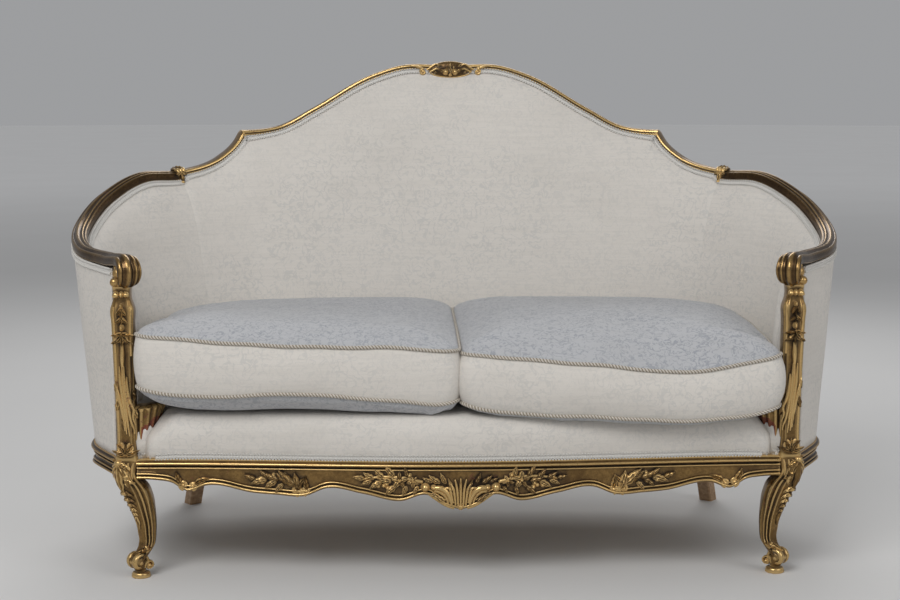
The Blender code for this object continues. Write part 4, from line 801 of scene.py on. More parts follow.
HESSIAN = coarse_cloth("hessian", (0.55, 0.44, 0.28), (0.30, 0.22, 0.13), 0.0018)
SPRING_WIRE = wire("coppered_wire")


# Upholstery

def bridged(station, read):
    """What is read at a station, eased round the ears, where the cloth bridges a corner."""
    near = min(1.0, 1.2 * notch(abs(station), EAR_AT, BRIDGE_SPREAD))
    total, weights = Vector(), 0.0
    for step in np.linspace(-1, 1, 23).tolist():
        weight = 1.02 + cos(pi * step)
        total += read(clamp(station + BRIDGE_REACH * step, -POST_AT, POST_AT)) * weight
        weights += weight
    return read(station).lerp(total / weights, near)


@lru_cache(maxsize=None)
def pad_column(station):
    """Foot, head, softened head, way out and stuffing at a station."""
    return (pad_foot(station), cloth_head(station), bridged(station, cloth_head),
            bridged(station, WALL.outward), pad_depth(station))


def pad_depth(station):
    """Stuffing behind the cloth at a station, less along the arms."""
    share = (1 - abs(station)) / (1 - CLASP_AT)
    return BACK_PAD if abs(station) < CLASP_AT else BACK_PAD * pad_run(share)


def head_drop(station, easing=0.012):
    """Drop of the cloth's upper edge: under the crest's band, lower under the arm rail."""
    share = clamp((abs(station) - CLASP_AT + easing) / easing)
    return CREST_BAND + (ARM_THICKNESS - CREST_BAND) * eased(share) + FIT_GAP


def cloth_head(station):
    """Where the cloth ends under the rail, inside and outside."""
    return WALL.below_top(station, head_drop(station))


def pad_foot(station):
    return WALL.at_rise(station, DECK_RISE + 2 * FIT_GAP)


def cover_foot(station):
    return WALL.at_rise(station, FIT_GAP)


def pad_point(station, share, lift=0.0):
    """Point of a pad's face, or at a lift over it, from its foot to its head."""
    foot, head, soft_head, out, depth = pad_column(station)
    away = (abs(station) - CLASP_AT) * WALL.length / SEAM_SPREAD
    tug = 0.0009 * noise.noise(Vector((station * 9.0, share * 3.0, 0.7)))
    place = foot.lerp(soft_head, share) + (head - soft_head) * share ** 36
    full = depth * pad_swell(share) - SEAM_DIP * exp(-away * away) + tug
    ahead = clamp((place.y - PAD_FRONT) / PAD_NOSE)
    full -= PAD_NOSE * (1 - sqrt(1 - (1 - ahead) ** 2)) * min(1.0, full / PAD_NOSE)
    point = place - out * (CORE_FACE + full + lift)
    point.y = PAD_FRONT if abs(station) >= POST_AT else max(point.y, PAD_FRONT)
    return point


def make_pad(name, stations):
    """Stuffed pad between its core and its cover's face."""
    rings = []
    for station in stations:
        ring = [pad_point(station, row / PAD_ROWS) for row in range(PAD_ROWS + 1)]
        out = WALL.outward(station) * CORE_FACE
        head, foot = cloth_head(station) - out, pad_foot(station) - out
        back = [head.lerp(foot, row / PAD_BACK_ROWS) for row in range(PAD_BACK_ROWS + 1)]
        if abs(station) >= POST_AT:
            for point in back:
                point.y = PAD_FRONT
        rings.append(ring + back)
    pad = solid(name, ring_solid(rings), IVORY, "frame", sharp=1.1)
    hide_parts(name.replace("fine_", ""))


def make_pads():
    """The inside pads, which meet at the clasps."""
    meet = CLASP_AT - PAD_SEAM
    make_pad("fine_inside_back_pad", WALL.stations(-meet, meet, 160))
    nose = PAD_NOSE / WALL.length
    for side, word in SIDES:
        stations = set(WALL.stations(CLASP_AT + PAD_SEAM, POST_AT, 70))
        stations |= {POST_AT - nose * share for share in (0.03, 0.10, 0.22, 0.40, 0.62, 0.85)}
        make_pad("fine_inside_arm_pad_" + word, [side * at for at in sorted(stations)])


def cover_point(station, share, lift=0.0):
    """Point of the outside cover's face from its foot to its head."""
    swell = 0.0012 * sin(pi * share) + 0.0006 * noise.noise(Vector((station * 11, share * 4, 5)))
    return (cover_foot(station).lerp(cloth_head(station), share)
            + WALL.outward(station) * (CORE_FACE + COVER + swell + lift))


def make_cover(name, first, last, columns):
    """Thin cover stretched over the outside of the wall."""
    rings = []
    for station in WALL.stations(first, last, columns):
        out = WALL.outward(station) * CORE_FACE
        foot, head = cover_foot(station) + out, cloth_head(station) + out
        shares = [row / COVER_ROWS for row in range(COVER_ROWS + 1)]
        rings.append([foot.lerp(head, share) for share in shares]
                     + [cover_point(station, 1 - share) for share in shares])
    cover = solid(name, ring_solid(rings), IVORY, "frame")
    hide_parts(name.replace("fine_", ""))


def make_covers():
    """The stretched outside covers, which meet at the clasps."""
    meet = CLASP_AT - COVER_SEAM
    make_cover("fine_outside_back_cover", -meet, meet, 130)
    for side, name in SIDES:
        first, last = sorted((side * (CLASP_AT + COVER_SEAM), side * POST_AT))
        make_cover("fine_outside_arm_cover_" + name, first, last, 60)


def flare_corner(share):
    """Corners of the flare's plan on the right side, at a size share."""
    return [Vector((APRON_REACH - across * share * FLARE_REACH,
                    LEG_Y + back * share * FLARE_REACH, 0.0)) for across, back in FLARE_PLAN]


def deck_plan():
    """Outline of the deck from the front middle round by the right to the left."""
    border = RAIL_THICKNESS / 2 - DECK_SETBACK
    corners = flare_corner(DECK_FLARE)
    half = [(apron_line(share * corners[1].x) - Vector((0.0, border, 0.0)), 1.0)
            for share in np.linspace(0.0, 0.985, 60).tolist()]
    for first, last in zip(corners[1:4], corners[2:5]):
        half += [(first.lerp(last, step / 4), 0.0) for step in range(4)]
    half += [(corners[4], 0.0), (Vector((corners[5].x, PAD_FRONT, 0.0)), 0.0)]
    for station in WALL.stations(POST_AT, 0.0, 60):
        place = WALL.point("foot", station) - WALL.outward(station) * CORE_FACE
        half.append((Vector((place.x, max(place.y, PAD_FRONT), 0.0)), 0.0))
    return half + [(Vector((-point.x, point.y, 0.0)), front)
                   for point, front in reversed(half[1:-1])]


def deck_hollow(point, rise):
    """Point of the deck's inner wall, which stands round the springs."""
    away = point - SEAT_MIDDLE
    return SEAT_MIDDLE + Vector((away.x * (1 - DECK_STUFFING / LEG_X),
                                 away.y * (1 - DECK_STUFFING / (SEAT_RUN / 2)),
                                 SEAT_TOP + rise))


def deck_point(point, front, share):
    """Point of the deck's border over a point of its plan, then in to its crown."""
    rise, inward, roll = deck_rings(min(share, 1.0))
    inward *= DECK_CORNER
    lift = rise * (DECK_RISE - DECK_CROWN)
    if share > 1.0:
        over = share - 1.0
        inward += (SEAT_RUN * 0.42 - inward) * over
        lift += DECK_CROWN * sin(pi / 2 * min(1.0, over * 1.2))
    away = point - SEAT_MIDDLE
    place = Vector((away.x * (1 - inward / LEG_X), away.y * (1 - inward / (SEAT_RUN / 2)), 0.0))
    place += SEAT_MIDDLE
    corner = Vector((abs(place.x) - APRON_REACH + DECK_DIP_AT[0],
                     place.y - LEG_Y + DECK_DIP_AT[1], 0.0))
    near = max(0.0, 1 - corner.length / DECK_DIP_RUN)
    lift -= DECK_DIP * eased(near) * lift / DECK_RISE
    soft = 0.0012 * noise.noise(Vector((point.x * 14, share * 5, 3.0))) * front
    return place + Vector((0.0, -(roll * DECK_ROLL + soft) * front, SEAT_TOP + FIT_GAP + lift))


def deck_wing(side):
    """Cloth drawn round the foot of a post's flare, under its leafy edge."""
    def path(size, share):
        corners = flare_corner(size)
        at = min(share * 3, 2.999)
        place = corners[int(at)].lerp(corners[int(at) + 1], at % 1)
        return Vector((side * place.x, place.y, 0.0))

    steps = 16
    rings = []
    for step in range(steps + 1):
        share = 0.02 + 0.50 * step / steps
        edge = flare_edge(share)
        top = flare_size((edge - SEAT_TOP) / FLARE_RISE)
        rings.append([path(size, share) + Vector((0.0, 0.0, level)) for size, level in (
            (1.06, SEAT_TOP + FIT_GAP), (1.10, (edge + SEAT_TOP) / 2), (top + 0.26, edge - 0.007),
            (top + 0.16, edge - 0.0012), (top + 0.06, edge - 0.0012),
            (0.72, SEAT_TOP + FIT_GAP))])
    return ring_solid(rings)


def make_deck():
    """Stuffed deck under the cushions, hollow over the springs."""
    plan = deck_plan()
    rings = [[deck_hollow(point, rise) for point, _ in plan]
             for rise in (DECK_RISE - DECK_STUFFING, FIT_GAP)]
    for share in [step / 16 for step in range(17)] + [1.06, 1.15, 1.3, 1.5, 1.75, 2.0]:
        ring = [deck_point(point, front, share) for point, front in plan]
        for _ in range(round(140 * max(0.0, share - 1.0) ** 1.5)):
            ring = [(ring[index - 1] + ring[index] * 2 + ring[(index + 1) % len(ring)]) / 4
                    for index in range(len(ring))]
        rings.append(ring)
    mesh = ring_solid(rings)
    for side, _ in SIDES:
        join(mesh, deck_wing(side))
    deck = solid("fine_seat_deck", mesh, IVORY, "frame")
    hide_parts("seat_deck")


def spaced(line, step):
    """Points, and the directions kept with them, at an even step along a line."""
    table = np.array([[*place, *normal] for place, normal in line])
    chords = np.linalg.norm(np.diff(table[:, :3], axis=0), axis=1)
    runs = np.concatenate(((0.0,), np.cumsum(chords)))
    at = np.linspace(0.0, runs[-1], max(2, round(runs[-1] / step)) + 1)
    found = np.column_stack([np.interp(at, runs, column) for column in table.T])
    return [(Vector(row[:3]), Vector(row[3:]).normalized()) for row in found]


def swept(line, shape):
    """Section swept along placed normals; the section is a function of the point's number."""
    places = [place for place, _ in line]
    rings = []
    for index, (place, normal) in enumerate(line):
        across = heading(places, index).cross(normal).normalized()
        rings.append([place + across * a + normal * h for a, h in shape(index)])
    return ring_solid(rings)


def gimp(name, line):
    """Scroll gimp: a flat ribbon with a looped cord along either edge."""
    steps = 6
    line = spaced(line, GIMP_PITCH / steps)
    wide = GIMP_WIDTH / 2

    def ribbon(_):
        return ((-0.62 * wide, 0.0), (-0.5 * wide, GIMP_THICK), (0.5 * wide, GIMP_THICK),
                (0.62 * wide, 0.0))

    def cord(side, phase):
        def shape(index):
            swing = abs(sin(pi * (index / steps + phase)))
            middle = side * wide * (0.30 + 0.62 * swing)
            lift = GIMP_THICK * (0.7 + 1.5 * swing)
            return [(middle + GIMP_CORD * a, lift + GIMP_CORD * h)
                    for a, h in ((-1, 0), (0, 1), (1, 0), (0, -1))]
        return shape

    mesh = swept(line, ribbon)
    join(mesh, swept(line, cord(-1, 0.0)))
    join(mesh, swept(line, cord(1, 0.5)))
    return solid(name, mesh, WHITE_BRAID, "frame")


def pad_line(first, last, count):
    """The cloth's upper edge inside, with the direction away from the wall."""
    line = []
    for station in WALL.stations(first, last, count):
        tall = (cloth_head(station) - WALL.at_rise(station, DECK_RISE)).length
        facing = WALL.up(station) * 0.55 - WALL.outward(station)
        line.append((pad_point(station, 1 - GIMP_DROP_INSIDE / tall, GIMP_LIFT_INSIDE),
                     facing.normalized()))
    return line


def cover_line(first, last, count):
    """The outside cover's upper edge, with the direction away from the wall."""
    line = []
    for station in WALL.stations(first, last, count):
        tall = (cloth_head(station) - cover_foot(station)).length
        line.append((cover_point(station, 1 - GIMP_DROP_OUTSIDE / tall, GIMP_LIFT_OUTSIDE),
                     WALL.outward(station)))
    return line


def deck_line():
    """Front foot of the deck's border, round by the flares at both ends."""
    reach = flare_corner(DECK_FLARE)[2].x
    front = sorted((point.x, point, edge) for point, edge in deck_plan()
                   if point.y < LEG_Y + 0.02 and abs(point.x) <= reach + 0.02)
    line = []
    for _, point, edge in front:
        facing = apron_facing(point.x)
        line.append((deck_point(point, edge, 0.12) + facing * GIMP_LIFT_DECK, facing))
    corners = flare_corner(1.10)
    corner = corners[0].lerp(corners[1], 0.25)
    ends = [(Vector((side * corner.x, corner.y - 0.0022, line[0][0].z)),
             Vector((0.0, -1.0, 0.0))) for side, _ in SIDES]
    return [ends[0]] + line + [ends[1]]


def make_gimps():
    """Braid along every edge of the cloth that shows."""
    gimp("gimp_inside_top", pad_line(-GIMP_END_AT, GIMP_END_AT, 260))
    gimp("gimp_outside_left", cover_line(-POST_AT, -CLASP_AT, 60))
    gimp("gimp_outside_back", cover_line(-CLASP_AT, CLASP_AT, 160))
    gimp("gimp_outside_right", cover_line(CLASP_AT, POST_AT, 60))
    gimp("gimp_seat_front", deck_line())


# Loose cushions

CUSHION_PARTS = {
    "left": {
        "side": -1, "bow": 0.012, "bow_at": 0.45, "nose": 0.005, "crown": 0.035, "hang": 0.030,
        "seams": Curve(((0.00, 0.4400, 0.3480), (0.05, 0.4410, 0.3440), (0.17, 0.4485, 0.3493),
                        (0.34, 0.4505, 0.3587), (0.50, 0.4527, 0.3660), (0.63, 0.4560, 0.3636),
                        (0.80, 0.4627, 0.3604), (0.92, 0.4690, 0.3670), (1.00, 0.4725, 0.3745)))},
    "right": {
        "side": 1, "bow": 0.020, "bow_at": 0.62, "nose": 0.010, "crown": 0.037, "hang": 0.012,
        "seams": Curve(((0.00, 0.4340, 0.3420), (0.04, 0.4330, 0.3365), (0.18, 0.4270, 0.3255),
                        (0.30, 0.4210, 0.3225), (0.43, 0.4160, 0.3205), (0.55, 0.4085, 0.3165),
                        (0.66, 0.4030, 0.3130), (0.80, 0.4095, 0.3155), (0.92, 0.4220, 0.3240),
                        (1.00, 0.4310, 0.3350)))},
}
DECK_RIM = Curve(((-0.390, 0.290), (-0.384, 0.302), (-0.376, 0.312), (-0.367, 0.3175),
                  (-0.355, 0.3205), (-0.300, 0.3265), (-0.220, 0.3310), (-0.100, 0.3335),
                  (0.200, 0.3340)))


def arc(centre, radius, first, last, steps):
    """Level points round part of a circle."""
    return [centre + Vector((cos(angle), sin(angle), 0.0)) * radius
            for angle in np.linspace(first, last, steps + 1).tolist()]


def pad_face(station):
    """Place on the deck that a pad's belly reaches at a station."""
    depth = CORE_FACE + pad_depth(station) * 1.02 + CUSHION_EASE
    place = WALL.at_rise(station, DECK_RISE) - WALL.outward(station) * depth
    return Vector((place.x, place.y, 0.0))


def cushion_plan(part):
    """Outline of a cushion: square to its partner, following the pads beside and behind."""
    inner, outer, corner = CUSHION_PARTING / 2, CUSHION_OUTER, CUSHION_CORNER
    basket = [pad_face(POST_AT * (1 - step / 48)) for step in range(49)]
    run = WALL.run("foot", POST_AT)
    basket.insert(0, basket[0] + run * ((PAD_FRONT - basket[0].y) / run.y))
    back = basket[-1].y
    plan = arc(Vector((outer - corner, CUSHION_FRONT + corner, 0.0)), corner, -pi / 2, 0.0, 8)
    plan += [Vector((min(point.x, outer), point.y, 0.0)) for point in basket
             if point.y > CUSHION_FRONT + corner and point.x > inner + 2 * corner]
    plan += arc(Vector((inner + corner, back - corner, 0.0)), corner, pi / 2, pi, 8)
    plan += arc(Vector((inner + corner, CUSHION_FRONT + corner, 0.0)), corner, pi, 1.5 * pi, 8)
    plan.append(plan[0].copy())
    plan = [place for place, _ in spaced([(point, UP) for point in plan], CUSHION_STEP)][:-1]
    for point in plan:
        reach = (point.x - inner) / (outer - inner)
        ahead = (point.y - back) / (back - CUSHION_FRONT)
        spread = reach ** (-0.69 / np.log(part["bow_at"])) if reach > 0 else 0.0
        point.y += part["bow"] * sin(pi * clamp(spread)) * ahead
        point.x *= part["side"]
    return plan


def seam_level(part, point, high):
    """Height of a piped seam, which rises and sags along the front of the cushion."""
    flat = CUSHION_HIGH if high else CUSHION_LOW
    reach = (abs(point.x) - CUSHION_PARTING / 2) / (CUSHION_OUTER - CUSHION_PARTING / 2)
    ahead = eased(clamp((SEAM_FLAT_BEHIND - point.y) / SEAM_FLAT_RUN))
    wave = 0.0007 * sin(31.0 * reach + (0.5 if high else 2.0)) * ahead
    return flat + (part["seams"](reach)[0 if high else 1] - flat) * ahead + wave


def cushion_rings(part):
    """Rings of a cushion from the middle of its under side, over both seams, to its crown."""
    plan = cushion_plan(part)
    middle = sum(plan, Vector()) / len(plan)

    def ring(level, scale=1.0, swell=0.0):
        made = []
        for point in plan:
            away = point - middle
            place = middle + away * scale + away.normalized() * swell
            place.z = level(point, place)
            made.append(place)
        return made

    def low(point):
        return seam_level(part, point, False)

    def high(point):
        return seam_level(part, point, True)

    def belly(point, place, scale):
        level = CUSHION_LOW + (low(point) - CUSHION_LOW) * scale ** 1.6
        level -= (CUSHION_BELLY + part["hang"]) * (1 - scale ** 14) ** 0.6
        return max(level, DECK_RIM(place.y) + 0.0004) if scale < 0.992 else level

    def panel(row):
        return 1 - (row / CROWN_ROWS) ** 1.8 * 0.93

    rings = []
    for row in range(CROWN_ROWS, 0, -1):
        scale = panel(row)
        rings.append(ring(lambda point, place, scale=scale: belly(point, place, scale), scale))
    for row in range(BAND_ROWS + 1):
        share = row / BAND_ROWS
        swell = (part["nose"] + 0.003) * sin(pi * share) ** 0.7
        rings.append(ring(lambda point, place, share=share:
                          low(point) + (high(point) - low(point)) * share, 1.0, swell))
    for row in range(1, CROWN_ROWS + 1):
        scale = panel(row)
        rise = part["crown"] * (0.75 * (1 - scale ** 11) ** 0.60 + 0.25 * (1 - scale ** 2))
        rings.append(ring(lambda point, place, scale=scale, rise=rise:
                          CUSHION_HIGH + (high(point) - CUSHION_HIGH) * scale ** 1.6 + rise,
                          scale))
    return rings


def finder(rows):
    """Search tree of places, each with the number that comes with it."""
    tree = KDTree(len(rows))
    for place, number in rows:
        tree.insert(place, number)
    tree.balance()
    return tree


def puff(piece, cap, seam_points):
    """Blow a cushion up a little as cloth, its seams held, and keep the creases."""
    seams = finder([(point, index) for index, point in enumerate(seam_points)])
    bpy.context.view_layer.objects.active = piece
    remesh = piece.modifiers.new("remesh", "REMESH")
    remesh.mode = "VOXEL"
    remesh.voxel_size = PUFF_GRAIN
    flatten(piece)
    before = [vert.co.copy() for vert in piece.data.vertices]
    held = piece.vertex_groups.new(name="seams")
    for vert in piece.data.vertices:
        away = seams.find(vert.co)[2]
        if away < SEAM_HOLD:
            held.add([vert.index], 1.0 - away / (2 * SEAM_HOLD), "REPLACE")
    cloth = piece.modifiers.new("cloth", "CLOTH")
    cloth.settings.use_pressure = True
    cloth.settings.uniform_pressure_force = 4.0
    cloth.settings.effector_weights.gravity = 0.0
    cloth.settings.vertex_group_mass = "seams"
    cloth.settings.quality = 4
    cloth.settings.tension_stiffness = 12.0
    cloth.settings.bending_stiffness = 0.4
    cloth.collision_settings.use_collision = False
    scene = bpy.context.scene
    for number in range(1, PUFF_FRAMES + 1):
        scene.frame_set(number)
    flatten(piece)
    scene.frame_set(1)
    for vert, start in zip(piece.data.vertices, before):
        moved = vert.co - start
        if moved.length > cap:
            moved = moved.normalized() * cap
        if start.y > CUSHION_FRONT + 0.05:
            moved.x *= 0.4
            moved.y *= 0.4
        vert.co = start + moved
        if start.z < CUSHION_LOW:
            vert.co.z = max(vert.co.z, min(start.z, DECK_RIM(vert.co.y)))
    smooth = piece.modifiers.new("smooth", "SUBSURF")
    smooth.levels = smooth.render_levels = 1
    flatten(piece)
    piece.data.shade_smooth()


def flatten(piece):
    """Turn a piece's modifiers into its mesh."""
    graph = bpy.context.evaluated_depsgraph_get()
    made = bpy.data.meshes.new_from_object(piece.evaluated_get(graph), depsgraph=graph)
    old = piece.data
    piece.modifiers.clear()
    piece.data = made
    bpy.data.meshes.remove(old)


def rope(name, piece, part, body, high):
    """Four-strand rope sewn along a seam, its strands taupe and ivory in turn."""
    tree = BVHTree.FromObject(piece, bpy.context.evaluated_depsgraph_get())
    plan = cushion_plan(part)
    middle = sum(plan, Vector()) / len(plan)
    line = []
    for point in plan:
        start = Vector((point.x, point.y, seam_level(part, point, high)))
        tilt = ((point - middle).normalized() + UP * (0.5 if high else -0.5)).normalized()
        hit = tree.ray_cast(start + tilt * 0.03, -tilt, 0.05)
        line.append(((hit[0] if hit[0] else start) + tilt * ROPE_RADIUS * 0.45, tilt))
    line.append(line[0])
    line = spaced(line, ROPE_LAY / ROPE_STEPS)[:-1]
    places = [place for place, _ in line]
    count = len(line)
    turns = round(count / ROPE_STEPS)
    strand, offset = ROPE_RADIUS * 0.43, ROPE_RADIUS * 0.57
    mesh = bmesh.new()
    for ply in range(ROPE_PLIES):
        centres = []
        for index, (place, normal) in enumerate(line):
            side = heading(places, index, closed=True).cross(normal).normalized()
            angle = tau * (turns * index / count + ply / ROPE_PLIES)
            centres.append(place + (normal * cos(angle) + side * sin(angle)) * offset)
        rings = []
        for index, centre in enumerate(centres):
            tangent = heading(centres, index, closed=True)
            normal = (line[index][1] - tangent * tangent.dot(line[index][1])).normalized()
            rings.append(circle(centre, normal, tangent.cross(normal), strand, 5))
        loop = ring_solid(rings + rings[:1])
        for face in loop.faces:
            face.material_index = ply % 2
        join(mesh, loop)
    return solid(name, mesh, [TAUPE_STRAND, IVORY_STRAND], body)


def colour_panels(cushion, rings):
    """The top and bottom panels take the darker, bluer damask painted with cool shade; the band
    between the seams takes the warm one.
    """
    tree = finder([(point, index) for index, ring in enumerate(rings) for point in ring])
    for face in cushion.data.polygons:
        ring = tree.find(face.center)[1]
        face.material_index = 0 if CROWN_ROWS <= ring <= CROWN_ROWS + BAND_ROWS else 1


def make_cushions():
    """The two loose cushions, each with its two ropes."""
    for word, part in CUSHION_PARTS.items():
        body = "cushion_" + word
        rings = cushion_rings(part)
        # The second look, for the top and bottom panels, is the damask painted with cool shade
        cushion = solid("fine_seat_cushion_" + word, ring_solid(rings), [IVORY, COOL_SHADED_DAMASK], body)
        seams = rings[CROWN_ROWS] + rings[CROWN_ROWS + BAND_ROWS]
        puff(cushion, PUFF_REACH, seams)
        colour_panels(cushion, rings)
        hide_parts("seat_cushion_" + word)
        rope("rope_top_" + word, cushion, part, body, True)
        rope("rope_bottom_" + word, cushion, part, body, False)


# Under the seat

def webbing_strip(first, last, phase):
    """One woven web from place to place, passing over and under those it crosses."""
    run = last - first
    count = max(2, round(run.length / WEB_STEP))
    side = run.normalized().cross(UP) * WEB_WIDTH / 2
    thick = UP * WEB_THICK / 2
    rings = []
    for step in range(count + 1):
        place = first + run * (step / count)
        place.z += WEB_WAVE * sin(pi * (run.length * step / count) / WEB_WIDTH + phase)
        rings.append([place - side - thick, place + side - thick, place + side + thick,
                      place - side + thick])
    return ring_solid(rings)


def wall_foot(first, last, count, distance):
    """The wall's foot at the station where a distance from it is least."""
    places = [WALL.point("foot", at) for at in np.linspace(first, last, count).tolist()]
    return min(places, key=distance)


def make_webbing(boxes):
    """Crossed webs under every row of springs."""
    low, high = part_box("seat_webbing")
    level = (low[2] + high[2]) / 2
    depths = sorted({round((low[1] + high[1]) / 2, 3) for low, high in boxes})
    reaches = sorted({round((low[0] + high[0]) / 2, 3) for low, high in boxes})
    mesh = bmesh.new()
    for number, y in enumerate(depths):
        side = wall_foot(CLASP_AT, 0.99, 60, lambda place, y=y: abs(place.y - y)).x - WEB_INSET
        join(mesh, webbing_strip(Vector((-side, y, level)), Vector((side, y, level)),
                                 pi * number))
    for number, x in enumerate(reaches):
        back = wall_foot(-0.5, 0.5, 90, lambda place, x=x: abs(place.x - x)).y - WEB_INSET
        front = apron_line(x).y + WEB_INSET
        join(mesh, webbing_strip(Vector((x, front, level)), Vector((x, back, level)),
                                 pi * (number + 1)))
    webs = solid("fine_seat_webbing", mesh, JUTE, "frame")
    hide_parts("seat_webbing")


def make_hessian():
    """Cloth laid over the springs, inside the deck's stuffing."""
    low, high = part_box("seat_hessian")
    edge = [deck_hollow(point, 0.0) for point, _ in deck_plan()]
    for point in edge:
        point.z = low[2]
    middle = sum(edge, Vector()) / len(edge)
    under = [[middle.lerp(point, share) for point in edge] for share in (0.25, 0.5, 0.75)]
    under.append(edge)
    over = [[point + UP * (high[2] - low[2]) for point in ring] for ring in under[::-1]]
    cloth = solid("fine_seat_hessian", ring_solid(under + over), HESSIAN, "frame")
    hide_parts("seat_hessian")


def make_spring(name, lowest, highest):
    """Waisted upholstery spring, its end turns closed flat."""
    centre = Vector(((lowest[0] + highest[0]) / 2, (lowest[1] + highest[1]) / 2, lowest[2]))
    tall, wire_half = highest[2] - lowest[2], SPRING_WIRE_WIDTH / 2
    points = []
    steps = round(SPRING_TURNS * 20)
    for step in range(steps + 1):
        share = step / steps
        level = 0.35 * share + 0.65 * eased(share)
        radius = SPRING_WAIST + (SPRING_RADIUS - SPRING_WAIST) * abs(2 * share - 1) ** 1.5
        angle = tau * SPRING_TURNS * share
        points.append(centre + Vector((radius * cos(angle), radius * sin(angle),
                                       level * (tall - 2 * wire_half) + wire_half)))
    coil = solid("fine_" + name, tube(points, [wire_half] * len(points), UP), SPRING_WIRE,
                 "frame")
    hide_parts(name)


def make_under_seat():
    """Webbing, springs and hessian, seen from below and through the deck's hollow."""
    boxes = {name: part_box(name) for name in frame["nodes"] if name.startswith("seat_spring_")}
    make_webbing(boxes.values())
    make_hessian()
    for name, (lowest, highest) in boxes.items():
        make_spring(name, lowest, highest)


# Carved and gilded frame

def moulding(rows, steps=5):
    """Section through corner points, each stretch bowed out or in by its own amount."""
    made = []
    for (x, z, bow), (next_x, next_z, _) in zip(rows, rows[1:] + rows[:1]):
        span = hypot(next_x - x, next_z - z)
        parts = steps if bow else 1
        for step in range(parts):
            t = step / parts
            swing = 4 * bow * t * (1 - t) / span
            made.append((x + (next_x - x) * t + (next_z - z) * swing,
                         z + (next_z - z) * t - (next_x - x) * swing))
    return made


def crest_section():
    """Section of the crest's moulding over the board behind it."""
    half, band = CREST_THICKNESS / 2, CREST_BAND
    return moulding((
        (BOARD_HALF, -band, 0.0), (half, -band, 0.0008), (half, -0.0055, 0.0022),
        (half - 0.004, 0.0, 0.0008), (-half + 0.0045, 0.0, 0.0022), (-half, -0.0052, 0.0),
        (-half + 0.0016, -0.0056, -0.0006), (-half + 0.0012, -0.0076, 0.0),
        (-half, -0.0078, 0.0011), (-half + 0.0006, -band, 0.0), (-BOARD_HALF, -band, 0.0)))


def make_crest_rail():
    """Moulded rail of the back, from clasp to clasp."""
    shape = crest_section()
    rings = []
    end = CLASP_AT - CLASP_GAP
    for station in WALL.stations(-end, end, 220):
        top, up, out = WALL.point("top", station), WALL.up(station), WALL.outward(station)
        drop = WALL.at_rise(station, top.z - BOARD_DROP - SEAT_TOP)
        ring = [top + out * across + up * rise for across, rise in shape]
        rings.append(ring + [drop - out * BOARD_HALF, drop + out * BOARD_HALF])
    crest = solid("fine_crest_rail", ring_solid(rings), GOLD, "frame", sharp=0.9)
    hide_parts("crest_rail")


def roll_section(wide, thick):
    """Section of the arm's top: a broad ridge between narrower ones over a flat under side."""
    half = wide / 2
    rows = [(half, -thick + 0.004, 0.0008)]
    edges = (1.0, 0.66, 0.52, -0.16, -0.30, -0.62, -0.72)
    swells = (0.0016, 0.0002, 0.0034, 0.0002, 0.0022, 0.0002, 0.0014)
    for edge, swell in zip(edges, swells):
        rows.append((edge * half, -0.0052 * edge * edge - (0.0010 if swell < 0.001 else 0.0),
                     swell * wide / 0.036))
    rows += [(-half, -0.0052, 0.0008), (-half, -thick + 0.004, 0.0012),
             (-half + 0.003, -thick, 0.0), (half - 0.003, -thick, 0.0012)]
    return moulding(tuple(rows), 6)


def arm_path(side):
    """Places, up and out directions, width and thickness along an arm and round its scroll."""
    across = Vector((side * cos(SCROLL_SWING), -sin(SCROLL_SWING), 0.0))
    ahead = Vector((-side * sin(SCROLL_SWING), -cos(SCROLL_SWING), 0.0))
    neck = SCROLL_WIDTH * SCROLL_WIDTHS(0.0)
    path = []
    for station in WALL.stations(side * (CLASP_AT + CLASP_GAP), side * ARM_END_AT, 110):
        ease = eased(clamp((abs(station) - ARM_TURN_AT) / (ARM_END_AT - ARM_TURN_AT)))
        out = WALL.outward(station).lerp(across, ease).normalized()
        up = WALL.up(station).lerp(UP, ease).normalized()
        path.append((WALL.point("top", station) + up * SCROLL_OUT * ease, up, out,
                     ARM_WIDTH + (neck - ARM_WIDTH) * ease ** 2, ARM_THICKNESS))
    start = path[-1][0]
    crown = WALL.point("top", side).z + SCROLL_RISE
    radius = SCROLL_RADIUS + SCROLL_OUT
    centre = Vector((start.x + side * SCROLL_OUT, start.y, crown - radius))
    centre += ahead * SCROLL_AHEAD
    hop = (centre - start).dot(ahead)
    for step in range(1, 7):
        share = step / 7
        place = start + ahead * hop * share
        place.x += side * SCROLL_OUT * share
        place.z = start.z + (crown - start.z) * eased(share)
        path.append((place, UP, across, neck, ARM_THICKNESS))
    for step in range(SCROLL_STEPS + 1):
        share = step / SCROLL_STEPS
        angle = share * tau * SCROLL_TURN * 0.62
        reach = radius * (1 - 0.60 * max(0.0, share - 0.12) ** 1.2)
        away = ahead * sin(angle) + UP * cos(angle)
        path.append((centre + away * reach, away, across, SCROLL_WIDTH * SCROLL_WIDTHS(share),
                     ARM_THICKNESS * (1 - 0.62 * min(1.0, share * 1.6))))
    return path, centre, across, ahead


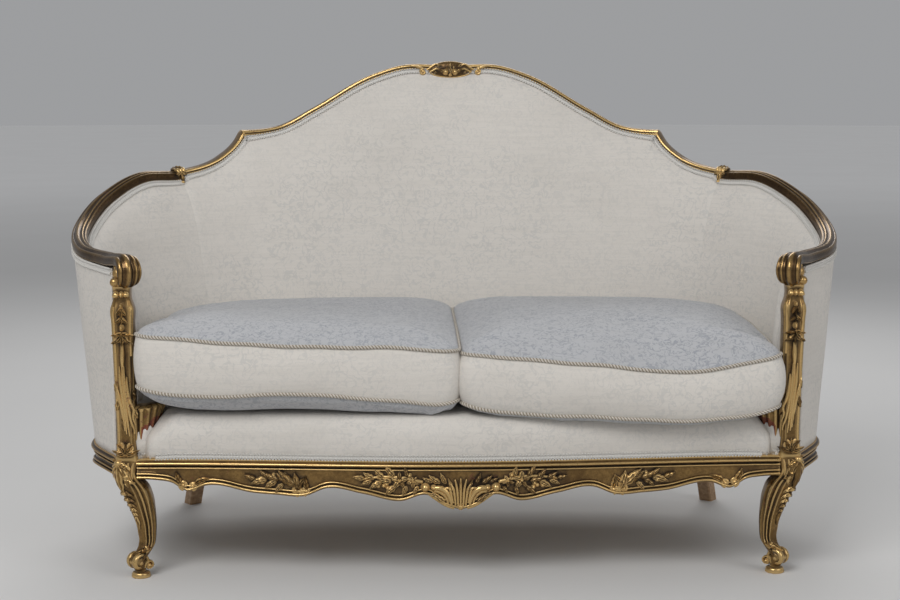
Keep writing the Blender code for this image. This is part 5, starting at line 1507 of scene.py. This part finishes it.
def make_arm_rail(side, word):
    """Ribbed arm with its scroll, the eyes of the scroll and a drop before the post."""
    path, centre, across, ahead = arm_path(side)
    mesh = ring_solid([[place + out * wide + up * rise
                        for wide, rise in roll_section(width, thick)]
                       for place, up, out, width, thick in path])
    inner_eye = centre - across * 0.0145 + ahead * 0.004 - UP * 0.006
    outer_eye = centre + across * 0.0120
    drop = Vector((side * 0.6345, LEG_Y - 0.028, centre.z - 0.0150))
    for place, size in ((inner_eye, 0.0080), (outer_eye, 0.0115), (drop, 0.0084)):
        eye = ball(size, 20, 12)
        bmesh.ops.translate(eye, verts=eye.verts, vec=place)
        join(mesh, eye)
    # The arm takes the darker gilding, painted shade
    arm = solid("fine_arm_rail_" + word, mesh, SHADED_GOLD, "frame", sharp=1.0)
    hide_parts("arm_rail_" + word)


class Column:
    """Carved upright, its middle, half sizes and squareness given by height."""

    def __init__(self, middle, halves, square, carve):
        self.middle, self.halves, self.square, self.carve = middle, halves, square, carve

    def point(self, angle, rise):
        c, s = cos(angle), sin(angle)
        power = self.square(rise)
        reach = (abs(c) ** power + abs(s) ** power) ** (-1 / power)
        half_x, half_y = self.halves(rise)
        more = self.carve(angle, rise)
        return self.middle(rise) + Vector(((half_x * reach + more) * c,
                                           (half_y * reach + more) * s, 0.0))

    def normal(self, angle, rise):
        one = self.point(angle + 0.02, rise) - self.point(angle - 0.02, rise)
        two = self.point(angle, rise + 0.001) - self.point(angle, rise - 0.001)
        return one.cross(two).normalized()

    def mesh(self, low, high):
        return ring_solid([[self.point(tau * k / COLUMN_SIDES, rise) for k in range(COLUMN_SIDES)]
                           for rise in np.linspace(low, high, COLUMN_RINGS).tolist()])

    def face(self, facing, scale):
        """Carving surface round the upright: lengths across from a facing angle, and height."""
        def place(across, rise):
            angle = facing + across / scale
            return self.point(angle, rise), self.normal(angle, rise)
        return place


def leg_column(side):
    """Curved leg, fluted on its front; the knee and the foot stand out along the diagonal."""
    def middle(rise):
        shift = leg_rows(rise / SEAT_TOP)[0] * LEG_KNEE_OUT - 0.0012
        return Vector((side * (LEG_X + shift), LEG_Y - shift, rise))

    def halves(rise):
        half = leg_rows(rise / SEAT_TOP)[1] * LEG_BLOCK * 0.95
        half *= 0.64 + 0.36 * clamp((rise - 0.034) / 0.028)
        return half, half

    def square(rise):
        return 2.2 + 5.0 * max(0.0, rise / SEAT_TOP - 0.45)

    def carve(angle, rise):
        front = sin(angle)
        across = cos(angle) * side
        if front > -0.15:
            return -0.0014 * notch(across, 0.8, 0.12) if rise < 0.2 else 0.0
        fade = clamp((0.215 - rise) / 0.02) * clamp((rise - 0.045) / 0.02)
        lines = sum(notch(across, at, 0.075) for at in (-0.80, -0.50, -0.16))
        ridges = sum(notch(across, at, 0.085) for at in (-0.66, -0.33, 0.0))
        return (-0.0032 * lines + 0.0020 * ridges + 0.0014 * notch(across, 0.86, 0.10)) * fade

    return Column(middle, halves, square, carve)


def foot_roll(base, toe, axle, ahead, level, size, wide, turn):
    """Scroll of a foot: a ribbed band wound round an eye."""
    centre = base + toe * ahead + UP * level
    band = moulding(((1, 0.1, 0.10), (0.35, 0.25, 0.0), (0.3, 0.16, -0.02), (-0.3, 0.16, 0.0),
                     (-0.35, 0.25, 0.10), (-1, 0.1, 0.0), (-1, -0.25, 0.0), (1, -0.25, 0.0)), 4)
    steps = 33
    rings = []
    for step in range(steps + 1):
        share = step / steps
        angle = -1.9 + share * 7.6
        reach = size * (1 - 0.66 * share)
        away = toe * sin(angle) * turn + UP * cos(angle)
        bulge = wide * (0.80 + 0.20 * sin(pi * min(1.0, share * 1.5)))
        rings.append([centre + away * (reach + h * size * 0.6) + axle * a * bulge
                      for a, h in band])
    mesh = ring_solid(rings)
    eye = ball(size * 0.50, 18, 12)
    for vert in eye.verts:
        vert.co += axle * vert.co.dot(axle) * (wide / (size * 0.50) * 1.10 - 1)
        vert.co += centre
    join(mesh, eye)
    return mesh


def make_front_leg(side, word):
    """Cabriole leg, its leafy knee and scrolled foot."""
    column = leg_column(side)
    mesh = column.mesh(LEG_START, SEAT_TOP)
    base = column.middle(LEG_START)
    base.z = 0.0
    pad = bmesh.new()
    bmesh.ops.create_cone(pad, cap_ends=True, segments=36, radius1=0.0185, radius2=0.0170,
                          depth=0.010)
    rims = [edge for edge in pad.edges if len(edge.link_faces) == 2
            and abs(edge.verts[0].co.z - edge.verts[1].co.z) < SAME]
    bevelled(pad, rims, 0.0028)
    bmesh.ops.translate(pad, verts=pad.verts, vec=base + UP * 0.0051)
    join(mesh, pad)
    toe = Vector((side, -1.0, 0.0)).normalized()
    axle = Vector((side, 1.0, 0.0)).normalized()
    join(mesh, foot_roll(base, toe, axle, 0.0085, 0.0310, 0.0185, 0.0150, 1.0))
    join(mesh, foot_roll(base, toe, axle, -0.0115, 0.0220, 0.0110, 0.0150, -1.0))
    leg = Relief(column.face(atan2(-1.0, side * 0.75), LEG_ROUND))
    leg.fan((0.0, 0.228), -pi / 2, ((0.0, 0.056), (0.42, 0.044), (-0.42, 0.044), (0.9, 0.028),
                                    (-0.9, 0.028)), 0.016, 0.0050, 4, 12, 0.003)
    leg.volute((0.014 * side, 0.216), 0.0085, 1.4, pi, side, 0.0026)
    leg.volute((-0.014 * side, 0.216), 0.0085, 1.4, 0.0, -side, 0.0026)
    leg.bead((0.0, 0.2285), 0.0062, 0.0070)
    for high, size in ((0.170, 0.0058), (0.157, 0.0052), (0.145, 0.0045), (0.134, 0.0039),
                       (0.124, 0.0033)):
        leg.bead((0.0, high), size * 0.8, size * 1.1)
        leg.fan((0.0, high + 0.004), -pi / 2, ((-0.75, size * 2.6), (0.75, size * 2.6)),
                size * 1.5, size * 0.8, 1)
    leg.leaf((0.0, 0.120), -pi / 2, 0.026, 0.010, 0.0038, 2, curl=0.001)
    front = Relief(column.face(-pi / 2, LEG_ROUND))
    for across in (-0.0130, -0.0045, 0.0040):
        front.bow(side, [(across, 0.2290), (across, 0.2150), (across + 0.001, 0.1980)],
                  (0.0016, 0.0028, 0.0012), 0.0006, 14)
    front.leaf((side * 0.002, 0.2000), -pi / 2, 0.018, 0.010, 0.0046, 2, curl=0.003)
    for across, turn in ((-0.004, 0.25), (-0.010, -0.15), (0.002, 0.6)):
        front.leaf((side * across, 0.060), -pi / 2 + side * turn, 0.022, 0.0100, 0.0052, 2,
                   curl=0.004)
    join(leg.mesh, front.mesh)
    join(leg.mesh, mesh)
    piece = leg.done("fine_front_leg_" + word, GOLD, replaces=["front_leg_" + word])
    piece.data.set_sharp_from_angle(angle=CARVED_EDGE)


def post_column(side):
    """Shaped post under an arm, with the heights of its foot and head."""
    head = WALL.point("top", side)
    foot_rise, head_rise = SEAT_TOP + FIT_GAP, head.z - 2 * SCROLL_RADIUS + 0.010

    def share(rise):
        return (rise - foot_rise) / (head_rise - foot_rise)

    def middle(rise):
        at = clamp(share(rise))
        back = post_rows(at)[1]
        return Vector((side * (LEG_X + (abs(head.x) - LEG_X) * at),
                       LEG_Y + (1 - back) * LEG_BLOCK / 2, rise))

    def halves(rise):
        across, back = post_rows(clamp(share(rise)))
        return POST_WIDTH / 2 * across, LEG_BLOCK / 2 * back

    def square(_):
        return 4.2

    def carve(angle, rise):
        at = share(rise)
        across = cos(angle) * side
        if sin(angle) > -0.2:
            return 0.0
        fade = clamp((0.97 - at) / 0.05) * clamp((at - 0.03) / 0.06)
        edge = -0.0015 * (notch(across, 0.60, 0.06) + notch(across, -0.66, 0.06)) * fade
        return edge - 0.0012 * notch(across, 0.0, 0.38) * fade

    return Column(middle, halves, square, carve), foot_rise, head_rise


def flare_mesh(side):
    """Leafy foot of the post: upright flutes fanning in and back over the seat's corner."""
    steps, parts = 30, 12
    rings = []
    for step in range(steps + 1):
        rise = step / steps
        level = UP * (SEAT_TOP + FIT_GAP + rise * FLARE_RISE)
        corners = [Vector((side * place.x, place.y, 0.0))
                   for place in flare_corner(flare_size(rise))]
        ring = []
        for number, (first, last) in enumerate(zip(corners, corners[1:] + corners[:1])):
            facing = Vector((last.y - first.y, first.x - last.x, 0.0)).normalized() * -side
            for part in range(parts):
                t = part / parts
                rib = abs(sin(pi * 2 * t)) ** 0.8 if number < 4 else 0.0
                swell = 0.0046 * rib * (0.35 + 0.65 * rise)
                ring.append(first.lerp(last, t) + facing * swell + level)
        rings.append(ring)
    top = sum(rings[-1], Vector()) / len(rings[-1])
    rings.append([point.lerp(top, 0.35) + UP * 0.004 for point in rings[-1]])
    return ring_solid(rings)


def shoulder(side, high):
    """Block from the post's neck up to the arm rail, behind the scroll."""
    head = WALL.point("top", side)
    low, front, back = high - 0.012, LEG_Y + 0.002, PAD_FRONT - FIT_GAP
    size = Vector((0.030, back - front, head.z - 0.014 - low))
    block = bmesh.new()
    bmesh.ops.create_cube(block, size=1.0)
    bmesh.ops.scale(block, verts=block.verts, vec=size)
    bmesh.ops.translate(block, verts=block.verts,
                        vec=(head.x, (front + back) / 2, low + size.z / 2))
    return bevelled(block, block.edges[:], 0.003)


def bare_flutes(piece):
    """The foot of a post's flare shows the red ground, as the cloth hid it from the gilder."""
    piece.data.materials.append(RED_GROUND)
    for face in piece.data.polygons:
        centre = face.center
        share = (APRON_REACH - abs(centre.x)) / FLARE_REACH
        level = flare_edge(share) + 0.010 + 0.002 * sin(centre.x * 260)
        if share > 0.10 and centre.z < level:
            face.material_index = 1


def make_arm_post(side, word):
    """Post under the arm: hanging leaves, fluted middle and flared foot."""
    column, low, high = post_column(side)
    down, inner = -pi / 2, -side
    carving = Relief(column.face(down, POST_ROUND))
    join(carving.mesh, column.mesh(low, high))
    join(carving.mesh, flare_mesh(side))
    join(carving.mesh, shoulder(side, high))
    for across, size in ((-0.0120, 0.0076), (0.0015, 0.0070), (0.0135, 0.0066)):
        carving.bead((-side * across, high - 0.014), size, size * 1.45)
    for across, first, last in ((0.0175, 0.522, 0.245), (-0.0175, 0.522, 0.430)):
        carving.bow(side, [(across, first), (across * 0.97, (first + last) / 2), (across, last)],
                    (0.0022, 0.0026, 0.0020), 0.0010)
    carving.bead((0.0, 0.5230), 0.0054, 0.0104)
    carving.fan((0.0, 0.5180), down, ((0.0, 0.017), (0.75, 0.015), (-0.75, 0.015)), 0.0110,
                0.0096, 1, curl=0.004)
    carving.fan((0.0, 0.5010), down, ((-1.0, 0.0150), (1.0, 0.0150)), 0.0098, 0.0090, 1,
                curl=0.004)
    carving.leaf((0.0, 0.5000), down, 0.0110, 0.0080, 0.0080, 1, curl=0.003)
    carving.bead((0.0, 0.4835), 0.0066, 0.0126)
    for turn, size in ((0.0, 0.026), (0.62, 0.026), (-0.62, 0.026), (1.25, 0.019), (-1.25, 0.019)):
        carving.leaf((0.0, 0.4730), down + turn, size, size * 0.52, 0.0104, 2,
                     bend=turn * 12, curl=0.004)
    carving.bow(inner, [(0.0, 0.452), (-0.001, 0.430), (-0.002, 0.410)],
                (0.0024, 0.0042, 0.0026), 0.0036)
    for number, (start, end, first, last) in enumerate((
            (-0.015, 0.000, 0.396, 0.290), (-0.009, 0.006, 0.412, 0.284),
            (-0.003, 0.012, 0.418, 0.280), (0.003, 0.018, 0.412, 0.284),
            (0.009, 0.0225, 0.392, 0.300))):
        carving.bow(inner, [(start, first), (start + 0.0012, first * 0.72 + last * 0.28),
                            (start * 0.45 + end * 0.55, first * 0.36 + last * 0.64),
                            (end, last)],
                    (0.0010, 0.0029, 0.0030, 0.0012), 0.0040 + 0.0010 * (number % 2), 30)
    for at, level, turn, size in ((-0.016, 0.386, -0.15, 0.022), (-0.014, 0.350, -0.05, 0.022),
                                  (-0.008, 0.318, 0.10, 0.022), (0.019, 0.366, 0.15, 0.020),
                                  (0.021, 0.332, 0.20, 0.020)):
        carving.leaf((inner * at, level), down + inner * turn, size, 0.0070, 0.0060, 2,
                     curl=0.003)
    foot = low + 0.018
    carving.volute((0.0125 * side, foot + 0.004), 0.0090, 1.5, pi / 2, side, 0.0030)
    carving.volute((-0.0115 * side, foot + 0.004), 0.0078, 1.5, pi / 2, -side, 0.0026)
    carving.fan((0.0, foot - 0.010), pi / 2,
                [(turn, 0.026) for turn in (-1.25, -0.62, 0.0, 0.62, 1.25)], 0.0110, 0.0078, 2,
                curl=0.004)
    piece = carving.done("fine_arm_post_" + word, GOLD, replaces=["arm_post_" + word])
    piece.data.set_sharp_from_angle(angle=CARVED_EDGE)
    bare_flutes(piece)


def rail_section(low):
    """Section of a seat rail's shaped apron: top mouldings, flat field, double lower bead."""
    half, top = RAIL_THICKNESS / 2, SEAT_TOP
    back, ledge = half - APRON_THICKNESS, SEAT_TOP - LEDGE_DROP
    field = half - FIELD_SINK
    return moulding((
        (back, low + 0.004, 0.0), (half - 0.004, low, 0.0012), (half, low + 0.0008, 0.0040),
        (half, low + 0.0066, 0.0), (half - 0.0022, low + 0.0074, 0.0),
        (half - 0.0006, low + 0.0082, 0.0026), (half - 0.0006, low + 0.0124, 0.0),
        (field, low + 0.0132, -0.0006), (field, top - 0.0190, 0.0),
        (half - 0.0004, top - 0.0184, 0.0018), (half - 0.0004, top - 0.0152, 0.0),
        (half - 0.0034, top - 0.0146, -0.0008), (half - 0.0034, top - 0.0118, 0.0),
        (half + 0.0014, top - 0.0112, 0.0042), (half + 0.0014, top - 0.0044, 0.0),
        (half, top - 0.0038, 0.0), (half, top, 0.0), (-half, top, 0.0), (-half, ledge, 0.0),
        (back, ledge, 0.0)))


def apron_face(across, rise):
    """Carving surface of the front rail: lengths across from the middle, and height."""
    facing = apron_facing(across)
    place = apron_line(across) + facing * (RAIL_THICKNESS / 2 - FIELD_SINK)
    place.z = rise
    return place, facing


def make_apron(side):
    """Scrolls of the lower edge on one half of the front rail."""
    relief = Relief(apron_face)
    for at, radius, hand, lift in ((0.517, 0.0085, 1, 0.009), (0.500, 0.0075, -1, 0.008),
                                   (0.305, 0.0100, -1, 0.011), (0.286, 0.0080, 1, 0.008)):
        level = apron_low(at) + lift
        relief.volute((side * at, level), radius, 1.5, -pi / 2, side * hand, 0.0034)
    for at, angle, size in ((0.496, 2.5, 0.030), (0.520, 0.9, 0.026), (0.305, 1.9, 0.034),
                            (0.284, 1.2, 0.026)):
        turn = angle if side > 0 else pi - angle
        relief.leaf((side * at, apron_low(at) + 0.010), turn, size, 0.013, 0.0066, 3,
                    bend=side * 16, curl=0.003)
    return relief.mesh


def make_front_rail():
    """Bowed front rail with its shaped lower edge."""
    rings = []
    end = APRON_REACH + 0.004
    for across in np.linspace(-end, end, 270).tolist():
        rings.append([apron_line(across) + Vector((0.0, -out, rise))
                      for out, rise in rail_section(apron_low(across))])
    mesh = ring_solid(rings)
    for side, _ in SIDES:
        join(mesh, make_apron(side))
    rail = solid("fine_front_rail", mesh, GOLD, "frame", sharp=0.9)
    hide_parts("front_rail")


def side_low(along):
    """Height of a side rail's lower edge."""
    return SEAT_TOP - side_edge(along) * SIDE_APRON_DROP


def make_side_rail(side, word):
    """Side rail with a leafy shell in its middle."""
    first, last = POST_AT, CLASP_AT + 0.0185

    def at(along):
        station = side * (first + (last - first) * along)
        foot = WALL.point("foot", station)
        foot.z = 0.0
        return foot, WALL.out("foot", station)

    steps = 90
    rings = []
    for number in range(steps + 1):
        along = number / steps
        foot, out = at(along)
        rings.append([foot + out * across + UP * rise
                      for across, rise in rail_section(side_low(along))])
    mesh = ring_solid(rings)
    long = (WALL.point("foot", first) - WALL.point("foot", last)).length * 1.15

    def face(across, rise):
        foot, out = at(0.5 + across / long)
        foot.z = rise
        return foot + out * (RAIL_THICKNESS / 2 - FIELD_SINK), out

    relief = Relief(face)
    low = side_low(0.5)
    relief.fan((0.0, low + 0.002), pi / 2,
               [(number * 0.36, 0.036 - 0.002 * abs(number)) for number in range(-3, 4)],
               0.013, 0.0070, 2, curl=0.004)
    relief.bead((0.0, low + 0.005), 0.0065, 0.0085)
    for hand in (-1, 1):
        relief.volute((hand * 0.024, low + 0.012), 0.0105, 1.5, -pi / 2, hand, 0.0034)
        relief.leaf((hand * 0.030, low + 0.018), pi / 2 - hand * 1.25, 0.050, 0.016, 0.0064, 4,
                    bend=-hand * 8, curl=0.003)
        relief.leaf((hand * 0.040, low + 0.014), pi / 2 - hand * 1.6, 0.040, 0.013, 0.0056, 3,
                    bend=hand * 8, curl=0.003)
    join(mesh, relief.mesh)
    # The side rail takes the darker gilding, painted shade
    rail = solid("fine_side_rail_" + word, mesh, SHADED_GOLD, "frame", sharp=0.9)
    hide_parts("side_rail_" + word)


def make_crest_carving():
    """Shell cartouche between two leafy scrolls on the crest's centre."""
    top = WALL.point("top", 0.0)
    front = top.y - CREST_THICKNESS / 2 - CREST_CARVING_AHEAD

    def face(across, rise):
        return Vector((across, front, top.z - 0.002 + rise)), Vector((0.0, -1.0, 0.0))

    relief = Relief(face)
    plate = ball(1.0, 40, 14)
    for vert in plate.verts:
        wide = 0.050 * (1 - 0.14 * abs(vert.co.y))
        vert.co = Vector((vert.co.x * wide, vert.co.y * 0.0185, vert.co.z * 0.0085 - 0.0030))
    # The plate takes the second, darker gilding, painted shade
    for polygon in plate.faces:
        polygon.material_index = 1
    relief.lay(plate, (0.0, -0.0070), 0.0)
    rim = [(0.0485 * cos(radians(angle)), -0.0070 + 0.0180 * sin(radians(angle)))
           for angle in range(192, 349, 4)]
    relief.vine(rim, [0.0016] * len(rim), lift=0.0002)
    relief.fan((0.0, -0.0180), pi / 2,
               [(number * 0.50, 0.0280 - 0.0030 * abs(number)) for number in range(-2, 3)],
               0.0080, 0.0075, 2)
    relief.bead((0.0, -0.0190), 0.0042, 0.0130)
    for hand in (-1, 1):
        relief.bead((hand * 0.0105, -0.0125), 0.0076, 0.0150)
        relief.leaf((hand * 0.0080, -0.0150), pi / 2 - hand * 1.20, 0.0250, 0.0105, 0.0100, 2,
                    bend=hand * 12, curl=0.003)
        relief.volute((hand * 0.0610, -0.0125), 0.0070, 1.4, pi / 2, -hand, 0.0026)
        relief.bow(hand, [(0.0900, 0.0010), (0.0780, 0.0004), (0.0680, -0.0030),
                          (0.0600, -0.0052)], (0.0010, 0.0024, 0.0027, 0.0026), 0.0006, 14)
        relief.bow(hand, [(0.0530, -0.0085), (0.0450, -0.0030), (0.0370, 0.0030),
                          (0.0300, 0.0045), (0.0245, 0.0005)],
                   (0.0016, 0.0020, 0.0020, 0.0018, 0.0012), 0.0044, 36)
        relief.bow(hand, [(0.0460, -0.0130), (0.0380, -0.0085), (0.0300, -0.0050),
                          (0.0250, -0.0080)], (0.0012, 0.0020, 0.0020, 0.0014), 0.0056)
        relief.leaf((hand * 0.0160, -0.0010), pi / 2 - hand * 1.10, 0.0200, 0.0064, 0.0052, 2,
                    bend=-hand * 18)
        relief.leaf((hand * 0.0280, -0.0170), pi / 2 - hand * 1.05, 0.0220, 0.0070, 0.0056, 3,
                    bend=hand * 10)
    relief.done("fine_crest_carving", [GOLD, SHADED_GOLD], replaces=["crest_carving"])


def make_clasp(side, word):
    """Leaf that wraps over the joint of the arm rail and the crest rail."""
    def wrap(along, over):
        """Over the top at negative lengths, down the front at positive ones."""
        station = side * CLASP_AT + along / WALL.length
        top, up, out = WALL.point("top", station), WALL.up(station), WALL.outward(station)
        half = CREST_THICKNESS / 2
        bend = clamp((over + 0.004) / 0.008)
        normal = (up * (1 - bend) - out * bend).normalized()
        if over < 0:
            return top - out * (half + over) + up * 0.0006, normal
        return top - out * (half + 0.0006) - up * over, normal

    relief = Relief(wrap)
    relief.fan((0.0, -0.030), pi / 2, ((0.0, 0.040), (0.5, 0.026), (-0.5, 0.026)), 0.0150,
               0.0068, 3, curl=0.002)
    for along in (-0.0068, 0.0, 0.0068):
        relief.bow(1, [(along * 1.25, -0.010), (along * 1.1, 0.0), (along * 0.9, 0.0085)],
                   (0.0030, 0.0040, 0.0028), 0.0022, 12)
    for hand in (-1, 1):
        relief.leaf((hand * 0.003, 0.002), pi / 2 - hand * 1.15, 0.0125, 0.0080, 0.0056, 1,
                    curl=0.003)
    relief.leaf((0.0, 0.004), pi / 2, 0.0220, 0.0115, 0.0085, 2, curl=0.002)
    relief.bead((0.0, 0.0240), 0.0042, 0.0072)
    relief.done("fine_clasp_" + word, GOLD, replaces=["clasp_" + word])


def make_apron_fan():
    """Acanthus ribs rising from the middle of the apron between two turned-out arms."""
    relief = Relief(apron_face)
    low = SEAT_TOP - APRON_DROP
    for number in range(-3, 4):
        tip = 0.0600 - 0.0022 * number * number
        relief.bow(1, [(number * 0.0047, low + 0.0040 + 0.0010 * number * number),
                       (number * 0.0054, low + 0.022), (number * 0.0068, low + 0.040),
                       (number * 0.0105, low + tip)], (0.0016, 0.0021, 0.0023, 0.0012), 0.0066)
        if number % 2 == 0:
            relief.leaf((number * 0.0062, low + 0.028), pi / 2 - number * 0.12, 0.033, 0.0090,
                        0.0070, 3, bend=-number * 3.0, curl=0.004)
    for hand in (-1, 1):
        for inset, lift, thick in ((0.0, 0.0060, 0.85), (0.0062, 0.0040, 0.62)):
            relief.bow(hand, [(0.0165 + inset, low + 0.0080), (0.0192 + inset, low + 0.0200),
                              (0.0250 + inset, low + 0.0320 - inset * 0.6),
                              (0.0350 + inset * 0.6, low + 0.0400 - inset),
                              (0.0480 + inset * 0.2, low + 0.0415 - inset)],
                       [thick * size for size in (0.0022, 0.0040, 0.0054, 0.0062, 0.0046)],
                       lift, 36)
        relief.bead((hand * 0.0500, low + 0.0415), 0.0056, 0.0110)
        relief.bead((hand * 0.0655, low + 0.0420), 0.0086, 0.0120)
        relief.bow(hand, [(0.0120, low + 0.0024), (0.0280, low + 0.0090),
                          (0.0450, low + 0.0200), (0.0610, low + 0.0310)],
                   (0.0026, 0.0034, 0.0034, 0.0026), 0.0022)
        relief.spray(hand, low, (
            (0.0290, 0.0140, 0.50, 0.0300), (0.0380, 0.0230, 0.25, 0.0220),
            (0.0270, 0.0490, 0.95, 0.0230), (0.0380, 0.0500, 0.45, 0.0260),
            (0.0520, 0.0520, 0.30, 0.0200)), 0.44, 0.0078, 14)
    relief.bead((0.0, low + 0.0045), 0.0062, 0.0085)
    relief.done("fine_apron_fan", GOLD, replaces=["apron_fan"])


def make_spray(side, word):
    """Inner spray of flowers, leaves and berries beside the fan."""
    relief = Relief(apron_face)
    branch = [(side * x, 0.196 + 0.010 * sin((x - 0.07) * 24))
              for x in np.linspace(0.070, 0.180, 26).tolist()]
    relief.vine(branch, [0.0032 - 0.0013 * k / 25 for k in range(26)], lift=0.0026)
    relief.flower((side * 0.113, 0.199), 0.0150, 0.3)
    relief.flower((side * 0.088, 0.197), 0.0110, 0.9)
    relief.spray(side, 0.0, (
        (0.098, 0.206, 1.2, 0.020), (0.123, 0.207, 0.75, 0.026), (0.128, 0.197, 0.10, 0.027),
        (0.120, 0.188, -0.55, 0.025), (0.142, 0.203, 0.65, 0.024), (0.146, 0.196, -0.35, 0.025),
        (0.160, 0.202, 0.40, 0.023), (0.165, 0.198, -0.25, 0.020), (0.100, 0.188, -1.1, 0.020),
        (0.078, 0.188, -0.9, 0.018), (0.178, 0.202, 0.10, 0.021)), 0.52, 0.0084, 12)
    for x, z in ((0.135, 0.185), (0.142, 0.189), (0.137, 0.1925), (0.152, 0.188), (0.094, 0.2085),
                 (0.172, 0.2045)):
        relief.bead((side * x, z), 0.0042, 0.0086)
    relief.done("fine_apron_bloom_" + word, GOLD, replaces=["apron_bloom_" + word])


def make_outer_spray(side, word):
    """Outer leaf spray that grows from the scroll of the lower edge."""
    relief = Relief(apron_face)
    relief.spray(side, 0.0, (
        (0.298, 0.180, 1.05, 0.034), (0.304, 0.187, 0.50, 0.038), (0.312, 0.194, 0.28, 0.036),
        (0.322, 0.200, 0.65, 0.024), (0.336, 0.199, 0.15, 0.031), (0.342, 0.196, -0.40, 0.025),
        (0.354, 0.202, 0.50, 0.024), (0.360, 0.198, -0.05, 0.030), (0.380, 0.199, 0.20, 0.024),
        (0.330, 0.190, -0.70, 0.021)), 0.52, 0.0086, 14)
    for x, z in ((0.347, 0.2070), (0.327, 0.2070), (0.368, 0.193), (0.352, 0.190)):
        relief.bead((side * x, z), 0.0040, 0.0082)
    relief.done("fine_apron_spray_" + word, GOLD, replaces=["apron_spray_" + word])


def make_frame():
    make_crest_rail()
    make_crest_carving()
    make_front_rail()
    make_apron_fan()
    for side, word in SIDES:
        make_arm_rail(side, word)
        make_arm_post(side, word)
        make_front_leg(side, word)
        make_side_rail(side, word)
        make_clasp(side, word)
        make_spray(side, word)
        make_outer_spray(side, word)


# Studio

def make_camera():
    """The photo's view."""
    data = bpy.data.cameras.new("camera")
    data.sensor_width = SENSOR
    data.lens = FOCAL_PIXELS / PHOTO_PIXELS * SENSOR
    camera = placed("camera", data)
    camera.location = CAMERA_PLACE
    camera.rotation_euler = (radians(90.0 - CAMERA_DIP), 0.0, CAMERA_TURN)
    bpy.context.scene.camera = camera


def softbox(name, place, target, size, power):
    data = bpy.data.lights.new(name, "AREA")
    data.shape = "RECTANGLE"
    data.size, data.size_y = size
    data.energy = power
    lamp = placed(name, data)
    lamp.location = place
    lamp.rotation_euler = (Vector(target) - Vector(place)).to_track_quat("-Z", "Y").to_euler()


def make_studio():
    scene = bpy.context.scene
    scene.view_settings.view_transform = "Standard"
    mesh = bmesh.new()
    bmesh.ops.create_circle(mesh, cap_ends=True, segments=64, radius=40.0)
    data = bpy.data.meshes.new("studio_floor")
    mesh.to_mesh(data)
    mesh.free()
    floor = placed("studio_floor", data)
    look = Look("studio_paper")
    grain = look.noise(1.3, 2.0)
    look.put("Base Color", look.mix(grain, (0.70, 0.695, 0.685), (0.66, 0.655, 0.645)))
    look.put("Roughness", look.ramp(grain, 0.3, 0.7, 0.85, 0.95))
    # Painted light: the floor glows more the farther it lies, fading into the backdrop's tone
    reach = look.add("ShaderNodeVectorMath", {"Vector": look.place},
                     operation="LENGTH").outputs["Value"]
    look.put("Emission Color", STUDIO_TONE)
    look.put("Emission Strength", look.ramp(reach, 3.0, 14.0, 0.0, 0.15))
    data.materials.append(look.material)
    world = bpy.data.worlds.new("studio_air")
    scene.world = world
    world.use_nodes = True
    back = world.node_tree.nodes["Background"]
    back.inputs["Color"].default_value = STUDIO_TONE
    back.inputs["Strength"].default_value = 0.42
    softbox("key_light", (-1.5, -3.0, 3.2), (0.0, 0.0, 0.4), (2.2, 1.6), 84.0)
    softbox("fill_light", (2.6, -2.4, 2.0), (0.1, 0.0, 0.4), (2.0, 2.0), 24.0)
    softbox("back_light", (0.3, 2.8, 2.6), (0.0, 0.0, 0.5), (2.6, 1.4), 36.0)


# The dark gilt slot takes the gilding darkened as painted shade
LOOK_OF_SLOT = {"gilt": GOLD, "dark_gilt": SHADED_GOLD, "beech": BEECH, "damask": IVORY,
                "jute": JUTE, "spring_steel": SPRING_WIRE}


def dress_nodes():
    """Give every CAD node that stays in view the fine material of its slot."""
    slots = {part["node"]: part["material_slot"] for part in frame["record"]["subparts"]}
    for name, piece in frame["nodes"].items():
        look = HESSIAN if name == "seat_hessian" else LOOK_OF_SLOT[slots[name]]
        for slot in piece.material_slots:
            slot.material = look


dress_nodes()
make_frame()
make_pads()
make_covers()
make_deck()
make_gimps()
make_cushions()
make_under_seat()
make_camera()
make_studio()
